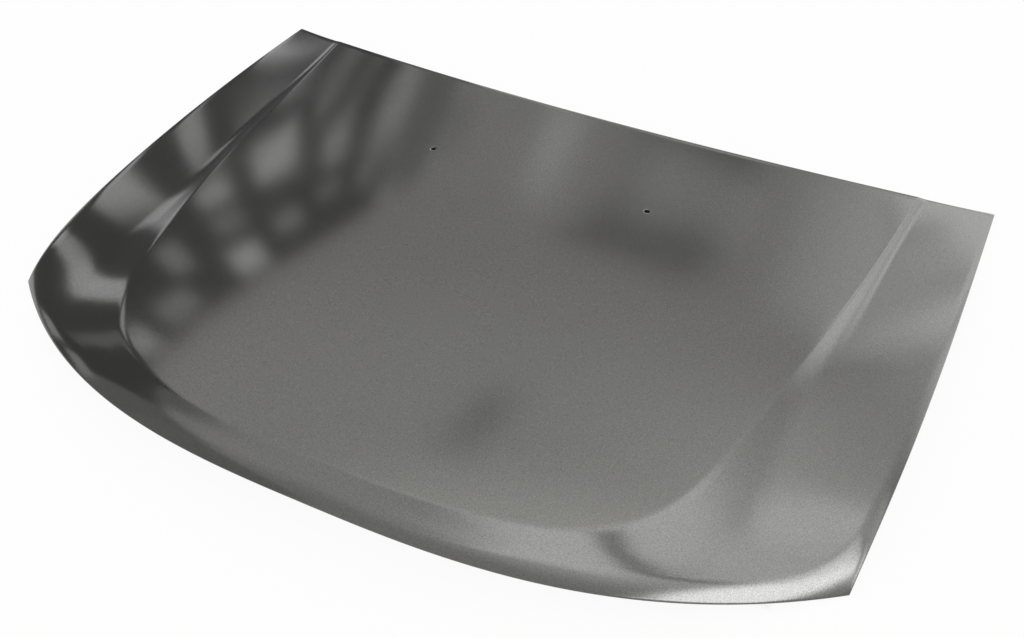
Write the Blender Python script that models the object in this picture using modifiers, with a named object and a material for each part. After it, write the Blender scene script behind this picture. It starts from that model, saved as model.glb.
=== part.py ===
"""Car bonnet: a steel skin hemmed round a ribbed inner panel, with hinge and latch reinforcements.

Lengths are metres. The design frame has y = 0 at the front corners and +Y towards the windscreen.
The bonnet lies as it rests on its four corners, outer side up.
"""
import math

import bmesh
import bpy
from mathutils import Vector
from mathutils.bvhtree import BVHTree

# Outline of the skin, seen from above
REAR_HALF_WIDTH = 0.725
FRONT_HALF_WIDTH = 0.701
SIDE_LENGTH = 0.870
SIDE_BULGE_POWER = 3.38
REAR_BOW = 0.128
REAR_BOW_POWER = 2.26
FRONT_BOW = 0.214
FRONT_BOW_POWER = 2.75

# Heights of the edges above the four corners
REAR_CROWN = 0.0743
REAR_CROWN_POWER = 2.41
FRONT_CROWN = 0.0485
FRONT_CROWN_POWER = 2.54
SIDE_CROWN = 0.0130
CORNER_DROP = 0.0359
CORNER_DROP_LENGTH = 0.063

# Raised centre: heights along the centre line, and the crown across it
SPINE_SETBACKS = (0.054, 0.284, 0.614)
SPINE_HEIGHTS = (0.0845, 0.1085, 0.0970)
SPINE_ROWS_SETBACK = 0.100
CROSS_CROWN = 0.121
REAR_BLEND_LENGTH = 0.12

# Crease round the raised centre
CREASE_FRONT_INSET = 0.054
CREASE_CORNER_INSET = 0.236
CREASE_CORNER_SETBACK = 0.019
CREASE_CORNER_ANGLE = 21.0
CREASE_REAR_INSET = 0.131
CREASE_REAR_ANGLE = 5.0
CREASE_FRONT_HANDLE = 0.33
CREASE_CORNER_HANDLE = 0.12
CREASE_REAR_HANDLE = 0.35

# Form outside the crease at the front centre, front corner, side and rear corner
STRIP_WIDTH = (0.012, 0.060, 0.040, 0.012)
STRIP_SLOPE = (0.34, 0.22, 0.16, 0.10)
CREASE_ROUND = (0.010, 0.020, 0.008, 0.006)
CREASE_ROUND_SHARE = 0.8
FOOT_ROUND = (0.012, 0.050, 0.030, 0.015)
ROLL_SLOPE = (0.60, 0.45, 0.10, 0.05)
ROLL_WIDTH = (0.028, 0.035, 0.020, 0.015)

# Sheet metal
SKIN_THICKNESS = 0.00075
INNER_THICKNESS = 0.00065
PLATE_THICKNESS = 0.0016
CLEARANCE = 0.0003
HEM_DEPTH = 0.012
FLANGE_WIDTH = 0.024
FLANGE_EDGE_GAP = 0.0008
WALL_RUN = 0.011

# Inner panel
BEAM_DEPTH = 0.024
BEAM_DEPTH_EASE = 0.75
RIM_GAP = 0.0036
SIDE_BEAM = 0.112
FRONT_BEAM = 0.088
REAR_BEAM = 0.100
LATCH_BEAM_EXTRA = 0.050
LATCH_BEAM_SPREAD = 0.20
RIB_PAIRS = 3
RIB_WIDTH = 0.046
CROSS_RIB_SETBACK = 0.290
CROSS_RIB_WIDTH = 0.060
CELL_RADIUS = 0.026
CELL_WALL_RUN = 0.009
CELL_FLANGE = 0.010
RIB_CONVERGENCE = 0.80
DRAIN_HOLE_PLACES = (0.139, 0.331, 0.505)
DRAIN_HOLE_RADIUS = 0.006
FRONT_TOOLING_HOLES_X = (0.245, 0.456)
FRONT_TOOLING_HOLE_INSET = 0.026
REAR_TOOLING_HOLES_X = (0.109, 0.326, 0.522)
REAR_TOOLING_HOLE_SETBACK = 0.066
TOOLING_HOLE_RADIUS = 0.010

# Hinge and latch fixings
HINGE_INSET = 0.075
HINGE_SETBACK = 0.165
HINGE_PAD = (0.042, 0.092)
HINGE_BOLT_SPACING = 0.052
HINGE_PAD_DROP = 0.002
LATCH_SETBACK = 0.098
LATCH_PAD = (0.124, 0.046)
LATCH_BOLT_SPACING = 0.086
LATCH_PAD_DROP = 0.001
PAD_RADIUS = 0.012
PAD_RAMP = 0.008
BOLT_HOLE_RADIUS = 0.0046
PLATE_MARGIN = 0.004
PLATE_LIP = 0.004

# Threads and striker
THREAD_RADIUS = 0.004
NUT_ACROSS_FLATS = 0.014
NUT_HEIGHT = 0.0060
BOLT_HEAD_HEIGHT = 0.0052
WASHER_RADIUS = 0.0088
WASHER_HEIGHT = 0.0016
STRIKER_PLATE = (0.112, 0.034)
STRIKER_PLATE_THICKNESS = 0.0025
STRIKER_ROD_RADIUS = 0.004
STRIKER_WIDTH = 0.044
STRIKER_DROP = 0.030
STRIKER_BEND = 0.012

# Washer nozzle holes
WASHER_HOLE_X = 0.203
WASHER_HOLE_SETBACK = 0.349
WASHER_HOLE_RADIUS = 0.005

# Mastic pads
MASTIC_LENGTH = 0.030
MASTIC_WIDTH = 0.008

# Mesh density
FRONT_STATIONS = 13
SIDE_STATIONS = 14
SHOULDER_ROWS = 2
PLATEAU_ROWS = 4
FOLD_STEPS = 3
CELL_ARC_STEPS = 3
CELL_SIDE_LENGTH = 0.110
FLOOR_EDGE_LENGTH = 0.150
HOLE_SIDES = 8
WASHER_HOLE_SIDES = 16
FASTENER_SIDES = 12
MASTIC_SIDES = 10
ROD_BEND_STEPS = 6
ROD_SIDE_STEPS = 3

# Tolerances of the construction
SLOPE_STEP = 0.001
LEAST_LEAN = 0.5
MIDDLE_TOLERANCE = 1e-6


def smooth(t):
    """Rises from 0 to 1 with level ends."""
    t = min(max(t, 0.0), 1.0)
    return t * t * (3 - 2 * t)


def smooth_area(t):
    """Area under smooth() from 0 to t."""
    if t <= 0:
        return 0.0
    if t < 1:
        return t ** 3 - t ** 4 / 2
    return t - 0.5


def along(values, place):
    """A value at a place round the edge: 0 front centre, 1 front corner, 1.5 mid side, 2 rear corner."""
    knots = (0.0, 1.0, 1.5, 2.0)
    for k in range(3):
        if place <= knots[k + 1]:
            t = smooth((place - knots[k]) / (knots[k + 1] - knots[k]))
            return values[k] + (values[k + 1] - values[k]) * t
    return values[-1]


def front_edge(u):
    """Point of the front edge, from the centre (0) to the corner (1)."""
    y = -FRONT_BOW * (1 - u ** FRONT_BOW_POWER)
    return Vector((FRONT_HALF_WIDTH * u, y, FRONT_CROWN * (1 - u ** FRONT_CROWN_POWER)))


def side_edge(t):
    """Point of the side edge, from the front corner (0) to the rear corner (1)."""
    x = FRONT_HALF_WIDTH + (REAR_HALF_WIDTH - FRONT_HALF_WIDTH) * (1 - (1 - t) ** SIDE_BULGE_POWER)
    y = SIDE_LENGTH * t
    rise = 1 - math.exp(-y / CORNER_DROP_LENGTH)
    full = 1 - math.exp(-SIDE_LENGTH / CORNER_DROP_LENGTH)
    return Vector((x, y, 4 * SIDE_CROWN * t * (1 - t) + CORNER_DROP * (rise - t * full)))


def side_x(y):
    return side_edge(y / SIDE_LENGTH).x


def rear_y(x):
    return SIDE_LENGTH - REAR_BOW * (1 - (abs(x) / REAR_HALF_WIDTH) ** REAR_BOW_POWER)


def rear_z(x):
    return REAR_CROWN * (1 - (abs(x) / REAR_HALF_WIDTH) ** REAR_CROWN_POWER)


def spine_height(y):
    """Smooth curve through the heights of the centre line."""
    places = [-FRONT_BOW + s for s in SPINE_SETBACKS] + [rear_y(0)]
    heights = list(SPINE_HEIGHTS) + [REAR_CROWN]
    total = 0.0
    for i, (yi, zi) in enumerate(zip(places, heights)):
        term = zi
        for k, yk in enumerate(places):
            if k != i:
                term *= (y - yk) / (yi - yk)
        total += term
    return total


def centre_height(x, y):
    """Height of the raised centre, which meets the rear edge exactly."""
    plain = spine_height(y) - CROSS_CROWN * x * x
    edge = rear_y(x)
    error = rear_z(x) - (spine_height(edge) - CROSS_CROWN * x * x)
    return plain + error * math.exp(-(edge - y) / REAR_BLEND_LENGTH)


def crease_point(place):
    """Plan position of the crease at a place round the edge."""
    start = Vector((0, -FRONT_BOW + CREASE_FRONT_INSET, 0))
    corner = Vector((FRONT_HALF_WIDTH - CREASE_CORNER_INSET, CREASE_CORNER_SETBACK, 0))
    rear_x = REAR_HALF_WIDTH - CREASE_REAR_INSET
    end = Vector((rear_x, rear_y(rear_x), 0))
    turn = math.radians(CREASE_CORNER_ANGLE)
    tangent = Vector((math.sin(turn), math.cos(turn), 0)) * CREASE_CORNER_HANDLE
    lean = math.radians(CREASE_REAR_ANGLE)
    rear_handle = Vector((math.sin(lean), math.cos(lean), 0)) * CREASE_REAR_HANDLE
    if place <= 1:
        knots = (start, start + Vector((CREASE_FRONT_HANDLE, 0, 0)), corner - tangent, corner)
        t = place
    else:
        knots = (corner, corner + tangent, end - rear_handle, end)
        t = place - 1
    s = 1 - t
    weights = (s ** 3, 3 * s * s * t, 3 * s * t * t, t ** 3)
    return sum((k * w for k, w in zip(knots, weights)), Vector((0, 0, 0)))


class Station:
    """One line across the skin, from its edge over the crease to the centre line."""

    def __init__(self, place):
        self.place = place
        self.edge = front_edge(place) if place <= 1 else side_edge(place - 1)
        self.crease = crease_point(place)
        self.crease.z = centre_height(self.crease.x, self.crease.y)
        plan = self.edge - self.crease
        plan.z = 0
        self.width = plan.length
        self.out = plan.normalized()
        self.rearness = max(place - 1, 0.0)
        probe = self.crease - self.out * SLOPE_STEP
        self.crown_slope = (centre_height(probe.x, probe.y) - self.crease.z) / SLOPE_STEP
        room = self.width - FLANGE_WIDTH - CREASE_ROUND[0]
        strip, foot = along(STRIP_WIDTH, place), along(FOOT_ROUND, place)
        fit = min(1.0, room / (strip + foot))
        self.strip, self.foot = strip * fit, foot * fit
        self.round = min(along(CREASE_ROUND, place), CREASE_ROUND_SHARE * self.strip)
        self.roll_width, self.roll_slope = along(ROLL_WIDTH, place), along(ROLL_SLOPE, place)
        self.strip_slope = self.crown_slope + along(STRIP_SLOPE, place)
        fall = self.crease.z - self.edge.z
        fall -= self.crown_slope * self.width
        fall -= (self.strip_slope - self.crown_slope) * self.round * smooth_area(self.width / self.round)
        fall -= self.roll_slope * self.roll_width / 2
        run = self.foot * smooth_area((self.width - self.strip) / self.foot)
        self.shoulder_slope = self.strip_slope + fall / run

    def outside(self, d):
        """Point at distance d outside the crease, in plan."""
        share = d / self.width
        x = self.crease.x + (self.edge.x - self.crease.x) * share
        level = share
        if self.rearness > 0:
            power = REAR_BOW_POWER
            bowed = (x ** power - self.crease.x ** power) / (self.edge.x ** power - self.crease.x ** power)
            level = share + (bowed - share) * self.rearness
        y = self.crease.y + (self.edge.y - self.crease.y) * level
        z = self.crease.z - self.crown_slope * d
        z -= (self.strip_slope - self.crown_slope) * self.round * smooth_area(d / self.round)
        z -= (self.shoulder_slope - self.strip_slope) * self.foot * smooth_area((d - self.strip) / self.foot)
        start = self.width - self.roll_width
        z -= self.roll_slope * self.roll_width * smooth_area((d - start) / self.roll_width)
        return Vector((x, y, z))

    def inside(self, q, spine_y):
        """Point of the raised centre, from the crease (0) to the centre line (1)."""
        x = self.crease.x * (1 - q)
        y = spine_y + (self.crease.y - spine_y) * (1 - q) ** REAR_BOW_POWER
        return Vector((x, y, centre_height(x, y)))


def collection(name):
    made = bpy.data.collections.new(name)
    bpy.context.scene.collection.children.link(made)
    return made


def material(name, colour, roughness, metallic):
    made = bpy.data.materials.new(name)
    made.use_nodes = True
    shader = made.node_tree.nodes["Principled BSDF"]
    shader.inputs["Base Color"].default_value = (*colour, 1)
    shader.inputs["Roughness"].default_value = roughness
    shader.inputs["Metallic"].default_value = metallic
    return made


def add_object(name, bm, look, group, frame, creases=math.radians(30)):
    """Turns a bmesh into a named object of the bonnet."""
    mesh = bpy.data.meshes.new(name)
    bm.normal_update()
    bm.to_mesh(mesh)
    bm.free()
    made = bpy.data.objects.new(name, mesh)
    group.objects.link(made)
    made.parent = frame
    mesh.materials.append(material(name, *look))
    mesh.shade_smooth()
    mesh.set_sharp_from_angle(angle=creases)
    return made


def mirror_sheet(made):
    mirror = made.modifiers.new("other_half", "MIRROR")
    mirror.use_clip = True
    mirror.merge_threshold = 0.0001


def thicken(made, thickness, offset=-1.0):
    wall = made.modifiers.new("sheet", "SOLIDIFY")
    wall.thickness = thickness
    wall.offset = offset
    wall.use_even_offset = True


def cut(made, cutter):
    boolean = made.modifiers.new("cut_" + cutter.name, "BOOLEAN")
    boolean.operation = "DIFFERENCE"
    boolean.solver = "EXACT"
    boolean.object = cutter


def sheet(bm, rows):
    """Quads between neighbouring rows of vertices."""
    for near, far in zip(rows, rows[1:]):
        for k in range(len(near) - 1):
            bm.faces.new((near[k], near[k + 1], far[k + 1], far[k]))


def ring(bm, near, far):
    """Quads between two closed loops of vertices."""
    count = len(near)
    for k in range(count):
        bm.faces.new((near[k], near[(k + 1) % count], far[(k + 1) % count], far[k]))


def fill(bm, loops):
    """Triangles inside the first closed loop and outside the others."""
    edges = []
    for loop in loops:
        for a, b in zip(loop, loop[1:] + loop[:1]):
            edges.append(bm.edges.get((a, b)) or bm.edges.new((a, b)))
    made = bmesh.ops.triangle_fill(bm, use_beauty=True, use_dissolve=False, edges=edges, normal=(0, 0, 1))
    faces = [f for f in made["geom"] if isinstance(f, bmesh.types.BMFace)]
    for face in faces:
        face.normal_update()
        if face.normal.z < 0:
            face.normal_flip()
    return faces


def stack_height():
    """Outer height of the hem: two skins round the inner panel's flange."""
    return 2 * SKIN_THICKNESS + INNER_THICKNESS + 2 * CLEARANCE


def stations():
    tail = [1 - FLANGE_WIDTH / SIDE_LENGTH, 1 - HEM_DEPTH / SIDE_LENGTH, 1.0]
    places = [k / FRONT_STATIONS for k in range(FRONT_STATIONS)]
    places += [1 + tail[0] * k / SIDE_STATIONS for k in range(SIDE_STATIONS)]
    places += [1 + t for t in tail]
    return [Station(p) for p in places]


def spine_y(place):
    """Where the row of a station reaches the centre line."""
    start = -FRONT_BOW + CREASE_FRONT_INSET + SPINE_ROWS_SETBACK
    reach = rear_y(0) - start
    return start + reach * (place / 2) ** (2 * SIDE_LENGTH / reach)


def station_points(lines, i):
    """Points of one station, from the edge to the centre line."""
    line = lines[i]
    before = lines[i - 1].edge if i else Vector((-1, line.edge.y, 0))
    after = lines[i + 1].edge if i + 1 < len(lines) else line.edge
    tangent = (after - before).to_2d().normalized()
    lean = max(line.out.x * tangent.y - line.out.y * tangent.x, LEAST_LEAN)
    flange = line.width - FLANGE_WIDTH / lean
    foot_end = line.strip + line.foot
    rows = [line.width, line.width - HEM_DEPTH / lean, flange]
    rows += [flange + (foot_end - flange) * k / (SHOULDER_ROWS + 1) for k in range(1, SHOULDER_ROWS + 1)]
    rows += [foot_end, line.strip + line.foot / 2, line.strip, line.round, 0.0]
    points = [line.outside(d) for d in rows]
    centre = spine_y(line.place)
    points += [line.inside(k / PLATEAU_ROWS, centre) for k in range(1, PLATEAU_ROWS + 1)]
    return points


class SkinSurface:
    """Right half of the skin's outer face, as a grid of stations from front centre to rear corner."""

    def __init__(self):
        lines = stations()
        self.bm = bmesh.new()
        self.grid = [[self.bm.verts.new(p) for p in station_points(lines, i)] for i in range(len(lines))]
        self.last, self.depth = len(lines) - 1, len(self.grid[0])
        for vert in self.grid[0] + [row[-1] for row in self.grid]:
            vert.co.x = 0
        sheet(self.bm, [[row[j] for row in self.grid] for j in range(self.depth)])
        self.bm.normal_update()
        self.tree = BVHTree.FromBMesh(self.bm)
        self.rim = [(i, 0) for i in range(self.last + 1)] + [(self.last, j) for j in range(1, self.depth)]
        self.frames = {place: self.rim_frame(k) for k, place in enumerate(self.rim)}
        for place, (_, out) in self.frames.items():
            self.vert(place).co -= out * stack_height() / 2

    def vert(self, place):
        return self.grid[place[0]][place[1]]

    def rim_frame(self, k):
        """Normal of the skin at a rim point, and the way out of the rim, mitred at a corner."""
        here = self.vert(self.rim[k]).co
        normal = self.vert(self.rim[k]).normal.copy()
        before = here - self.vert(self.rim[k - 1]).co if k else Vector((1, 0, 0))
        after = self.vert(self.rim[k + 1]).co - here if k + 1 < len(self.rim) else Vector((-1, 0, 0))
        if k in (0, len(self.rim) - 1):
            before = after = before if k == 0 else after
            normal.x = 0
        normal.normalize()
        first, second = before.cross(normal).normalized(), after.cross(normal).normalized()
        return normal, (first + second) / (1 + first.dot(second))

    def band(self, width):
        """Grid squares that lie within some lines of the rim."""
        squares = []
        for i in range(self.last):
            for j in range(self.depth - 1):
                if j < width or i >= self.last - width:
                    squares.append(((i, j), (i + 1, j), (i + 1, j + 1), (i, j + 1)))
        return squares

    def sunk(self, place, depth):
        """A grid point moved square to the skin, towards the underside."""
        vert = self.vert(place)
        point = vert.co - vert.normal * depth
        if vert.co.x == 0:
            point.x = 0
        return point

    def below(self, x, y, depth):
        """Height of a sheet whose outer face lies a vertical depth under the skin."""
        hit, normal, _, _ = self.tree.ray_cast(Vector((max(x, SLOPE_STEP), y, 1)), Vector((0, 0, -1)))
        return hit.z - (SKIN_THICKNESS + CLEARANCE) / normal.z - depth

    def floor(self, x, y):
        """Height of the beams' floor, which is shallower where the skin nears the resting plane."""
        height = self.below(x, y, 0)
        return height - BEAM_DEPTH * (1 - math.exp(-BEAM_DEPTH_EASE * height / BEAM_DEPTH))


def split_alike(bm, faces):
    """Splits squares along the same diagonal in each sheet of the hem, so that the sheets stay parallel."""
    bmesh.ops.triangulate(bm, faces=faces, quad_method="FIXED")


def outer_skin(surface, group, frame, cutters):
    """The skin with its rim folded back under the inner panel's flange."""
    bm = bmesh.new()
    top = {}
    for i, row in enumerate(surface.grid):
        for j, vert in enumerate(row):
            top[i, j] = bm.verts.new(vert.co)
    rim_squares = set(surface.band(2))
    hem = []
    for face in surface.band(surface.last + surface.depth):
        square = bm.faces.new([top[place] for place in face])
        if face in rim_squares:
            hem.append(square)
    radius = stack_height() / 2
    rows = [[top[place] for place in surface.rim]]
    for step in range(1, FOLD_STEPS + 1):
        turn = math.pi * step / FOLD_STEPS
        row = []
        for place in surface.rim:
            normal, out = surface.frames[place]
            centre = surface.vert(place).co - normal * radius
            row.append(bm.verts.new(centre + (normal * math.cos(turn) + out * math.sin(turn)) * radius))
        rows.append(row)
    sheet(bm, rows[::-1])
    under = dict(zip(surface.rim, rows[-1]))
    for face in surface.band(1):
        for place in face:
            if place not in under:
                under[place] = bm.verts.new(surface.sunk(place, 2 * radius))
        hem.append(bm.faces.new([under[face[k]] for k in (0, 3, 2, 1)]))
    split_alike(bm, hem)
    lowest = min(v.co.z for v in bm.verts)
    made = add_object("outer_skin", bm, ((0.11, 0.11, 0.105), 0.30, 0.3), group, frame)
    mirror_sheet(made)
    thicken(made, SKIN_THICKNESS)
    for side, sign in (("left", -1), ("right", 1)):
        y = SIDE_LENGTH - WASHER_HOLE_SETBACK
        cut(made, hole_cutter("washer_hole_" + side, sign * WASHER_HOLE_X, y, cutters, frame))
    return lowest


def hole_cutter(name, x, y, cutters, frame):
    bm = bmesh.new()
    height = REAR_CROWN + FRONT_CROWN
    bmesh.ops.create_cone(bm, cap_ends=True, segments=WASHER_HOLE_SIDES, radius1=WASHER_HOLE_RADIUS,
                          radius2=WASHER_HOLE_RADIUS, depth=height)
    bmesh.ops.translate(bm, verts=bm.verts, vec=(x, y, height / 2))
    mesh = bpy.data.meshes.new(name)
    bm.to_mesh(mesh)
    bm.free()
    made = bpy.data.objects.new(name, mesh)
    cutters.objects.link(made)
    made.parent = frame
    made.hide_render = True
    made.display_type = "WIRE"
    return made


def inset_corners(corners, distance):
    """Corners of a convex outline moved inwards, square to its sides."""
    moved = []
    count = len(corners)
    for k in range(count):
        here = corners[k]
        back = (here - corners[k - 1]).normalized()
        ahead = (corners[(k + 1) % count] - here).normalized()
        left_back, left_ahead = Vector((-back.y, back.x)), Vector((-ahead.y, ahead.x))
        moved.append(here + (left_back + left_ahead) * distance / (1 + left_back.dot(left_ahead)))
    return moved


def rounded_outline(corners, radius, inset, steps):
    """Points of an outline with round corners, moved inwards; steps divides each straight side."""
    count = len(corners)
    points = []
    arcs = []
    for k, centre in enumerate(inset_corners(corners, radius)):
        back = (corners[k] - corners[k - 1]).normalized()
        ahead = (corners[(k + 1) % count] - corners[k]).normalized()
        first = math.atan2(-back.x, back.y)
        turn = math.atan2(back.x * ahead.y - back.y * ahead.x, back.dot(ahead))
        arc = []
        for s in range(CELL_ARC_STEPS + 1):
            angle = first + turn * s / CELL_ARC_STEPS
            arc.append(centre + Vector((math.cos(angle), math.sin(angle))) * (radius - inset))
        arcs.append(arc)
    for k, arc in enumerate(arcs):
        points += arc
        following = arcs[(k + 1) % count][0]
        points += [arc[-1].lerp(following, s / steps[k]) for s in range(1, steps[k])]
    return points


def side_steps(corners):
    """How many parts each side has: even numbers, so that a side across the middle has a point there."""
    steps = []
    for k, corner in enumerate(corners):
        length = (corners[(k + 1) % len(corners)] - corner).length
        steps.append(2 * max(1, round(length / CELL_SIDE_LENGTH / 2)))
    return steps


def rectangle(x, y, width, length):
    """Corners of a rectangle in plan, from its centre."""
    signs = ((-1, -1), (1, -1), (1, 1), (-1, 1))
    return [Vector((x + sx * width / 2, y + sy * length / 2)) for sx, sy in signs]


def circle(x, y, radius, sides=HOLE_SIDES):
    turns = [2 * math.pi * k / sides for k in range(sides)]
    return [Vector((x + radius * math.cos(a), y + radius * math.sin(a))) for a in turns]


def front_beam_edge(x):
    """Where the openings end behind the front beam, which is wider at the latch."""
    edge = -FRONT_BOW * (1 - (abs(x) / FRONT_HALF_WIDTH) ** FRONT_BOW_POWER)
    return edge + FRONT_BEAM + LATCH_BEAM_EXTRA * math.exp(-(x / LATCH_BEAM_SPREAD) ** 2)


def opening_sides(k, y):
    """Start and end of an opening across the bonnet; the ribs share the room between the side beams."""
    pitch = (side_x(y) - SIDE_BEAM + RIB_WIDTH / 2) / (RIB_PAIRS + 0.5)
    return (k - 0.5) * pitch + RIB_WIDTH / 2, (k + 0.5) * pitch - RIB_WIDTH / 2


def cells():
    """Corners of the openings on the right half; those of the middle pair reach across to the left."""
    cross = SIDE_LENGTH - REAR_BOW - REAR_BEAM - CROSS_RIB_SETBACK
    front_y, rear_low = cross - CROSS_RIB_WIDTH / 2, cross + CROSS_RIB_WIDTH / 2
    made = []
    for k in range(RIB_PAIRS + 1):
        low, high = opening_sides(k, front_y)
        narrow_low, narrow_high = low * RIB_CONVERGENCE, high * RIB_CONVERGENCE
        made.append([Vector((narrow_low, front_beam_edge(narrow_low))),
                     Vector((narrow_high, front_beam_edge(narrow_high))),
                     Vector((high, front_y)), Vector((low, front_y))])
        low, high = opening_sides(k, rear_low)
        far_low, far_high = opening_sides(k, hinge_place().y)
        made.append([Vector((low, rear_low)), Vector((high, rear_low)),
                     Vector((far_high, rear_y(far_high) - REAR_BEAM)),
                     Vector((far_low, rear_y(far_low) - REAR_BEAM))])
    return made


def hinge_place():
    y = SIDE_LENGTH - HINGE_SETBACK
    return Vector((side_x(y) - HINGE_INSET, y))


def latch_place():
    return Vector((0, -FRONT_BOW + LATCH_SETBACK))


def hinge_bolts():
    x, y = hinge_place()
    return [(x, y - HINGE_BOLT_SPACING / 2), (x, y + HINGE_BOLT_SPACING / 2)]


def pad_height(surface, place, drop):
    return surface.floor(*place) - drop


class InnerPanel:
    """Right half of the inner panel: flange in the hem, beams, openings and flat pads."""

    def __init__(self, surface):
        self.surface = surface
        self.bm = bmesh.new()
        self.placed = self.bm.verts.layers.int.new("placed")
        self.near_skin = self.bm.verts.layers.int.new("near_skin")
        self.middle = []
        self.holes = []
        self.hem_flange()
        self.openings()
        self.pad(hinge_place(), HINGE_PAD, HINGE_PAD_DROP, hinge_bolts())
        bolt = (LATCH_BOLT_SPACING / 2, latch_place().y)
        self.pad(latch_place(), LATCH_PAD, LATCH_PAD_DROP, [bolt])
        self.small_holes()
        self.fill_floor()
        self.drape()

    def flat(self, points):
        return [self.bm.verts.new((p.x, p.y, 0)) for p in points]

    def right_half(self, points):
        """The part of a closed outline with x from 0 up, or all of it."""
        if min(p.x for p in points) >= 0:
            return points, True
        start = next(k for k, p in enumerate(points) if p.x > -MIDDLE_TOLERANCE > points[k - 1].x)
        half = [p for p in points[start:] + points[:start] if p.x > -MIDDLE_TOLERANCE]
        half[0].x = half[-1].x = 0
        return half, False

    def loops(self, outlines):
        """Rings of faces between neighbouring outlines; returns the outer loop and whether it is closed."""
        rows = []
        for outline in outlines:
            half, closed = self.right_half(outline)
            rows.append(self.flat(half))
        for near, far in zip(rows, rows[1:]):
            if closed:
                ring(self.bm, near, far)
            else:
                sheet(self.bm, [near, far])
        return rows, closed

    def place_loop(self, loop, closed):
        """The outer loop bounds the floor as a hole, or as a bay in its middle edge."""
        if closed:
            self.holes.append(loop)
        else:
            self.middle.append(loop)

    def hem_flange(self):
        surface = self.surface
        sunk = {}
        flange = []
        for face in surface.band(2):
            for place in face:
                if place not in sunk:
                    point = surface.sunk(place, SKIN_THICKNESS + CLEARANCE)
                    if place in surface.frames:
                        point -= surface.frames[place][1] * FLANGE_EDGE_GAP
                    sunk[place] = self.bm.verts.new(point)
            flange.append(self.bm.faces.new([sunk[place] for place in face]))
        split_alike(self.bm, flange)
        for vert in sunk.values():
            vert[self.placed] = 1
        last, depth = surface.last - 2, surface.depth
        inner = [(i, 2) for i in range(last + 1)] + [(last, j) for j in range(3, depth)]
        self.floor_edge = []
        for i, j in inner:
            outer = surface.vert((last + 1, j if j > 2 else 1) if i == last else (i, 1))
            here = surface.vert((i, j)).co
            step = (here - outer.co) * (WALL_RUN / HEM_DEPTH)
            x = 0 if here.x == 0 else here.x + step.x
            self.floor_edge.append(self.bm.verts.new((x, here.y + step.y, 0)))
        sheet(self.bm, [[sunk[place] for place in inner], self.floor_edge])

    def openings(self):
        for corners in cells():
            steps = side_steps(corners)
            insets = (0, CELL_WALL_RUN, CELL_WALL_RUN + CELL_FLANGE)
            rows, closed = self.loops([rounded_outline(corners, CELL_RADIUS, d, steps) for d in insets])
            for row in rows[1:]:
                for vert in row:
                    vert[self.near_skin] = 1
            self.place_loop(rows[0], closed)

    def pad(self, place, size, drop, bolts):
        height = pad_height(self.surface, place, drop)
        corners = rectangle(*place, size[0] + 2 * PAD_RAMP, size[1] + 2 * PAD_RAMP)
        steps = [2] * 4
        outlines = [rounded_outline(corners, PAD_RADIUS + PAD_RAMP, d, steps) for d in (0, PAD_RAMP)]
        (outer, inner), closed = self.loops(outlines)
        self.place_loop(outer, closed)
        bolt_loops = [self.flat(circle(x, y, BOLT_HOLE_RADIUS)) for x, y in bolts]
        fill(self.bm, [inner] + bolt_loops)
        for vert in inner + [v for loop in bolt_loops for v in loop]:
            vert.co.z = height
            vert[self.placed] = 1

    def small_holes(self):
        for (x, y), radius in small_hole_places():
            self.holes.append(self.flat(circle(x, y, radius)))

    def fill_floor(self):
        outline = list(self.floor_edge)
        for bay in sorted(self.middle, key=lambda loop: -loop[0].co.y):
            outline += bay if bay[0].co.y > bay[-1].co.y else bay[::-1]
        faces = fill(self.bm, [outline] + self.holes)
        for _ in range(2):
            inside = {e for f in faces for e in f.edges}
            inside = [e for e in inside if e.calc_length() > FLOOR_EDGE_LENGTH and len(e.link_faces) == 2]
            inside = [e for e in inside if all(f in faces for f in e.link_faces)]
            if not inside:
                break
            known = set(self.bm.faces) - set(faces)
            bmesh.ops.subdivide_edges(self.bm, edges=inside, cuts=1, use_grid_fill=True)
            faces = [f for f in self.bm.faces if f not in known]
            made = bmesh.ops.triangulate(self.bm, faces=faces)
            faces = made["faces"]

    def drape(self):
        """Lays the flat layout against the skin: rims close under it, floors at the beams' depth."""
        for vert in self.bm.verts:
            if vert[self.placed]:
                continue
            if vert[self.near_skin]:
                vert.co.z = self.surface.below(vert.co.x, vert.co.y, RIM_GAP)
            else:
                vert.co.z = self.surface.floor(vert.co.x, vert.co.y)


def small_hole_places():
    """Drain holes in the side beams and tooling holes in the front and rear beams."""
    places = []
    for y in DRAIN_HOLE_PLACES:
        x = side_x(y) - (FLANGE_WIDTH + WALL_RUN + SIDE_BEAM) / 2
        places.append(((x, y), DRAIN_HOLE_RADIUS))
    for x in FRONT_TOOLING_HOLES_X:
        places.append(((x, front_beam_edge(x) - FRONT_TOOLING_HOLE_INSET), TOOLING_HOLE_RADIUS))
    for x in REAR_TOOLING_HOLES_X:
        places.append(((x, rear_y(x) - REAR_TOOLING_HOLE_SETBACK), TOOLING_HOLE_RADIUS))
    return places


def inner_panel(surface, group, frame):
    panel = InnerPanel(surface)
    made = add_object("inner_panel", panel.bm, ((0.10, 0.10, 0.10), 0.45, 0.2), group, frame)
    mirror_sheet(made)
    thicken(made, INNER_THICKNESS)


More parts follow.
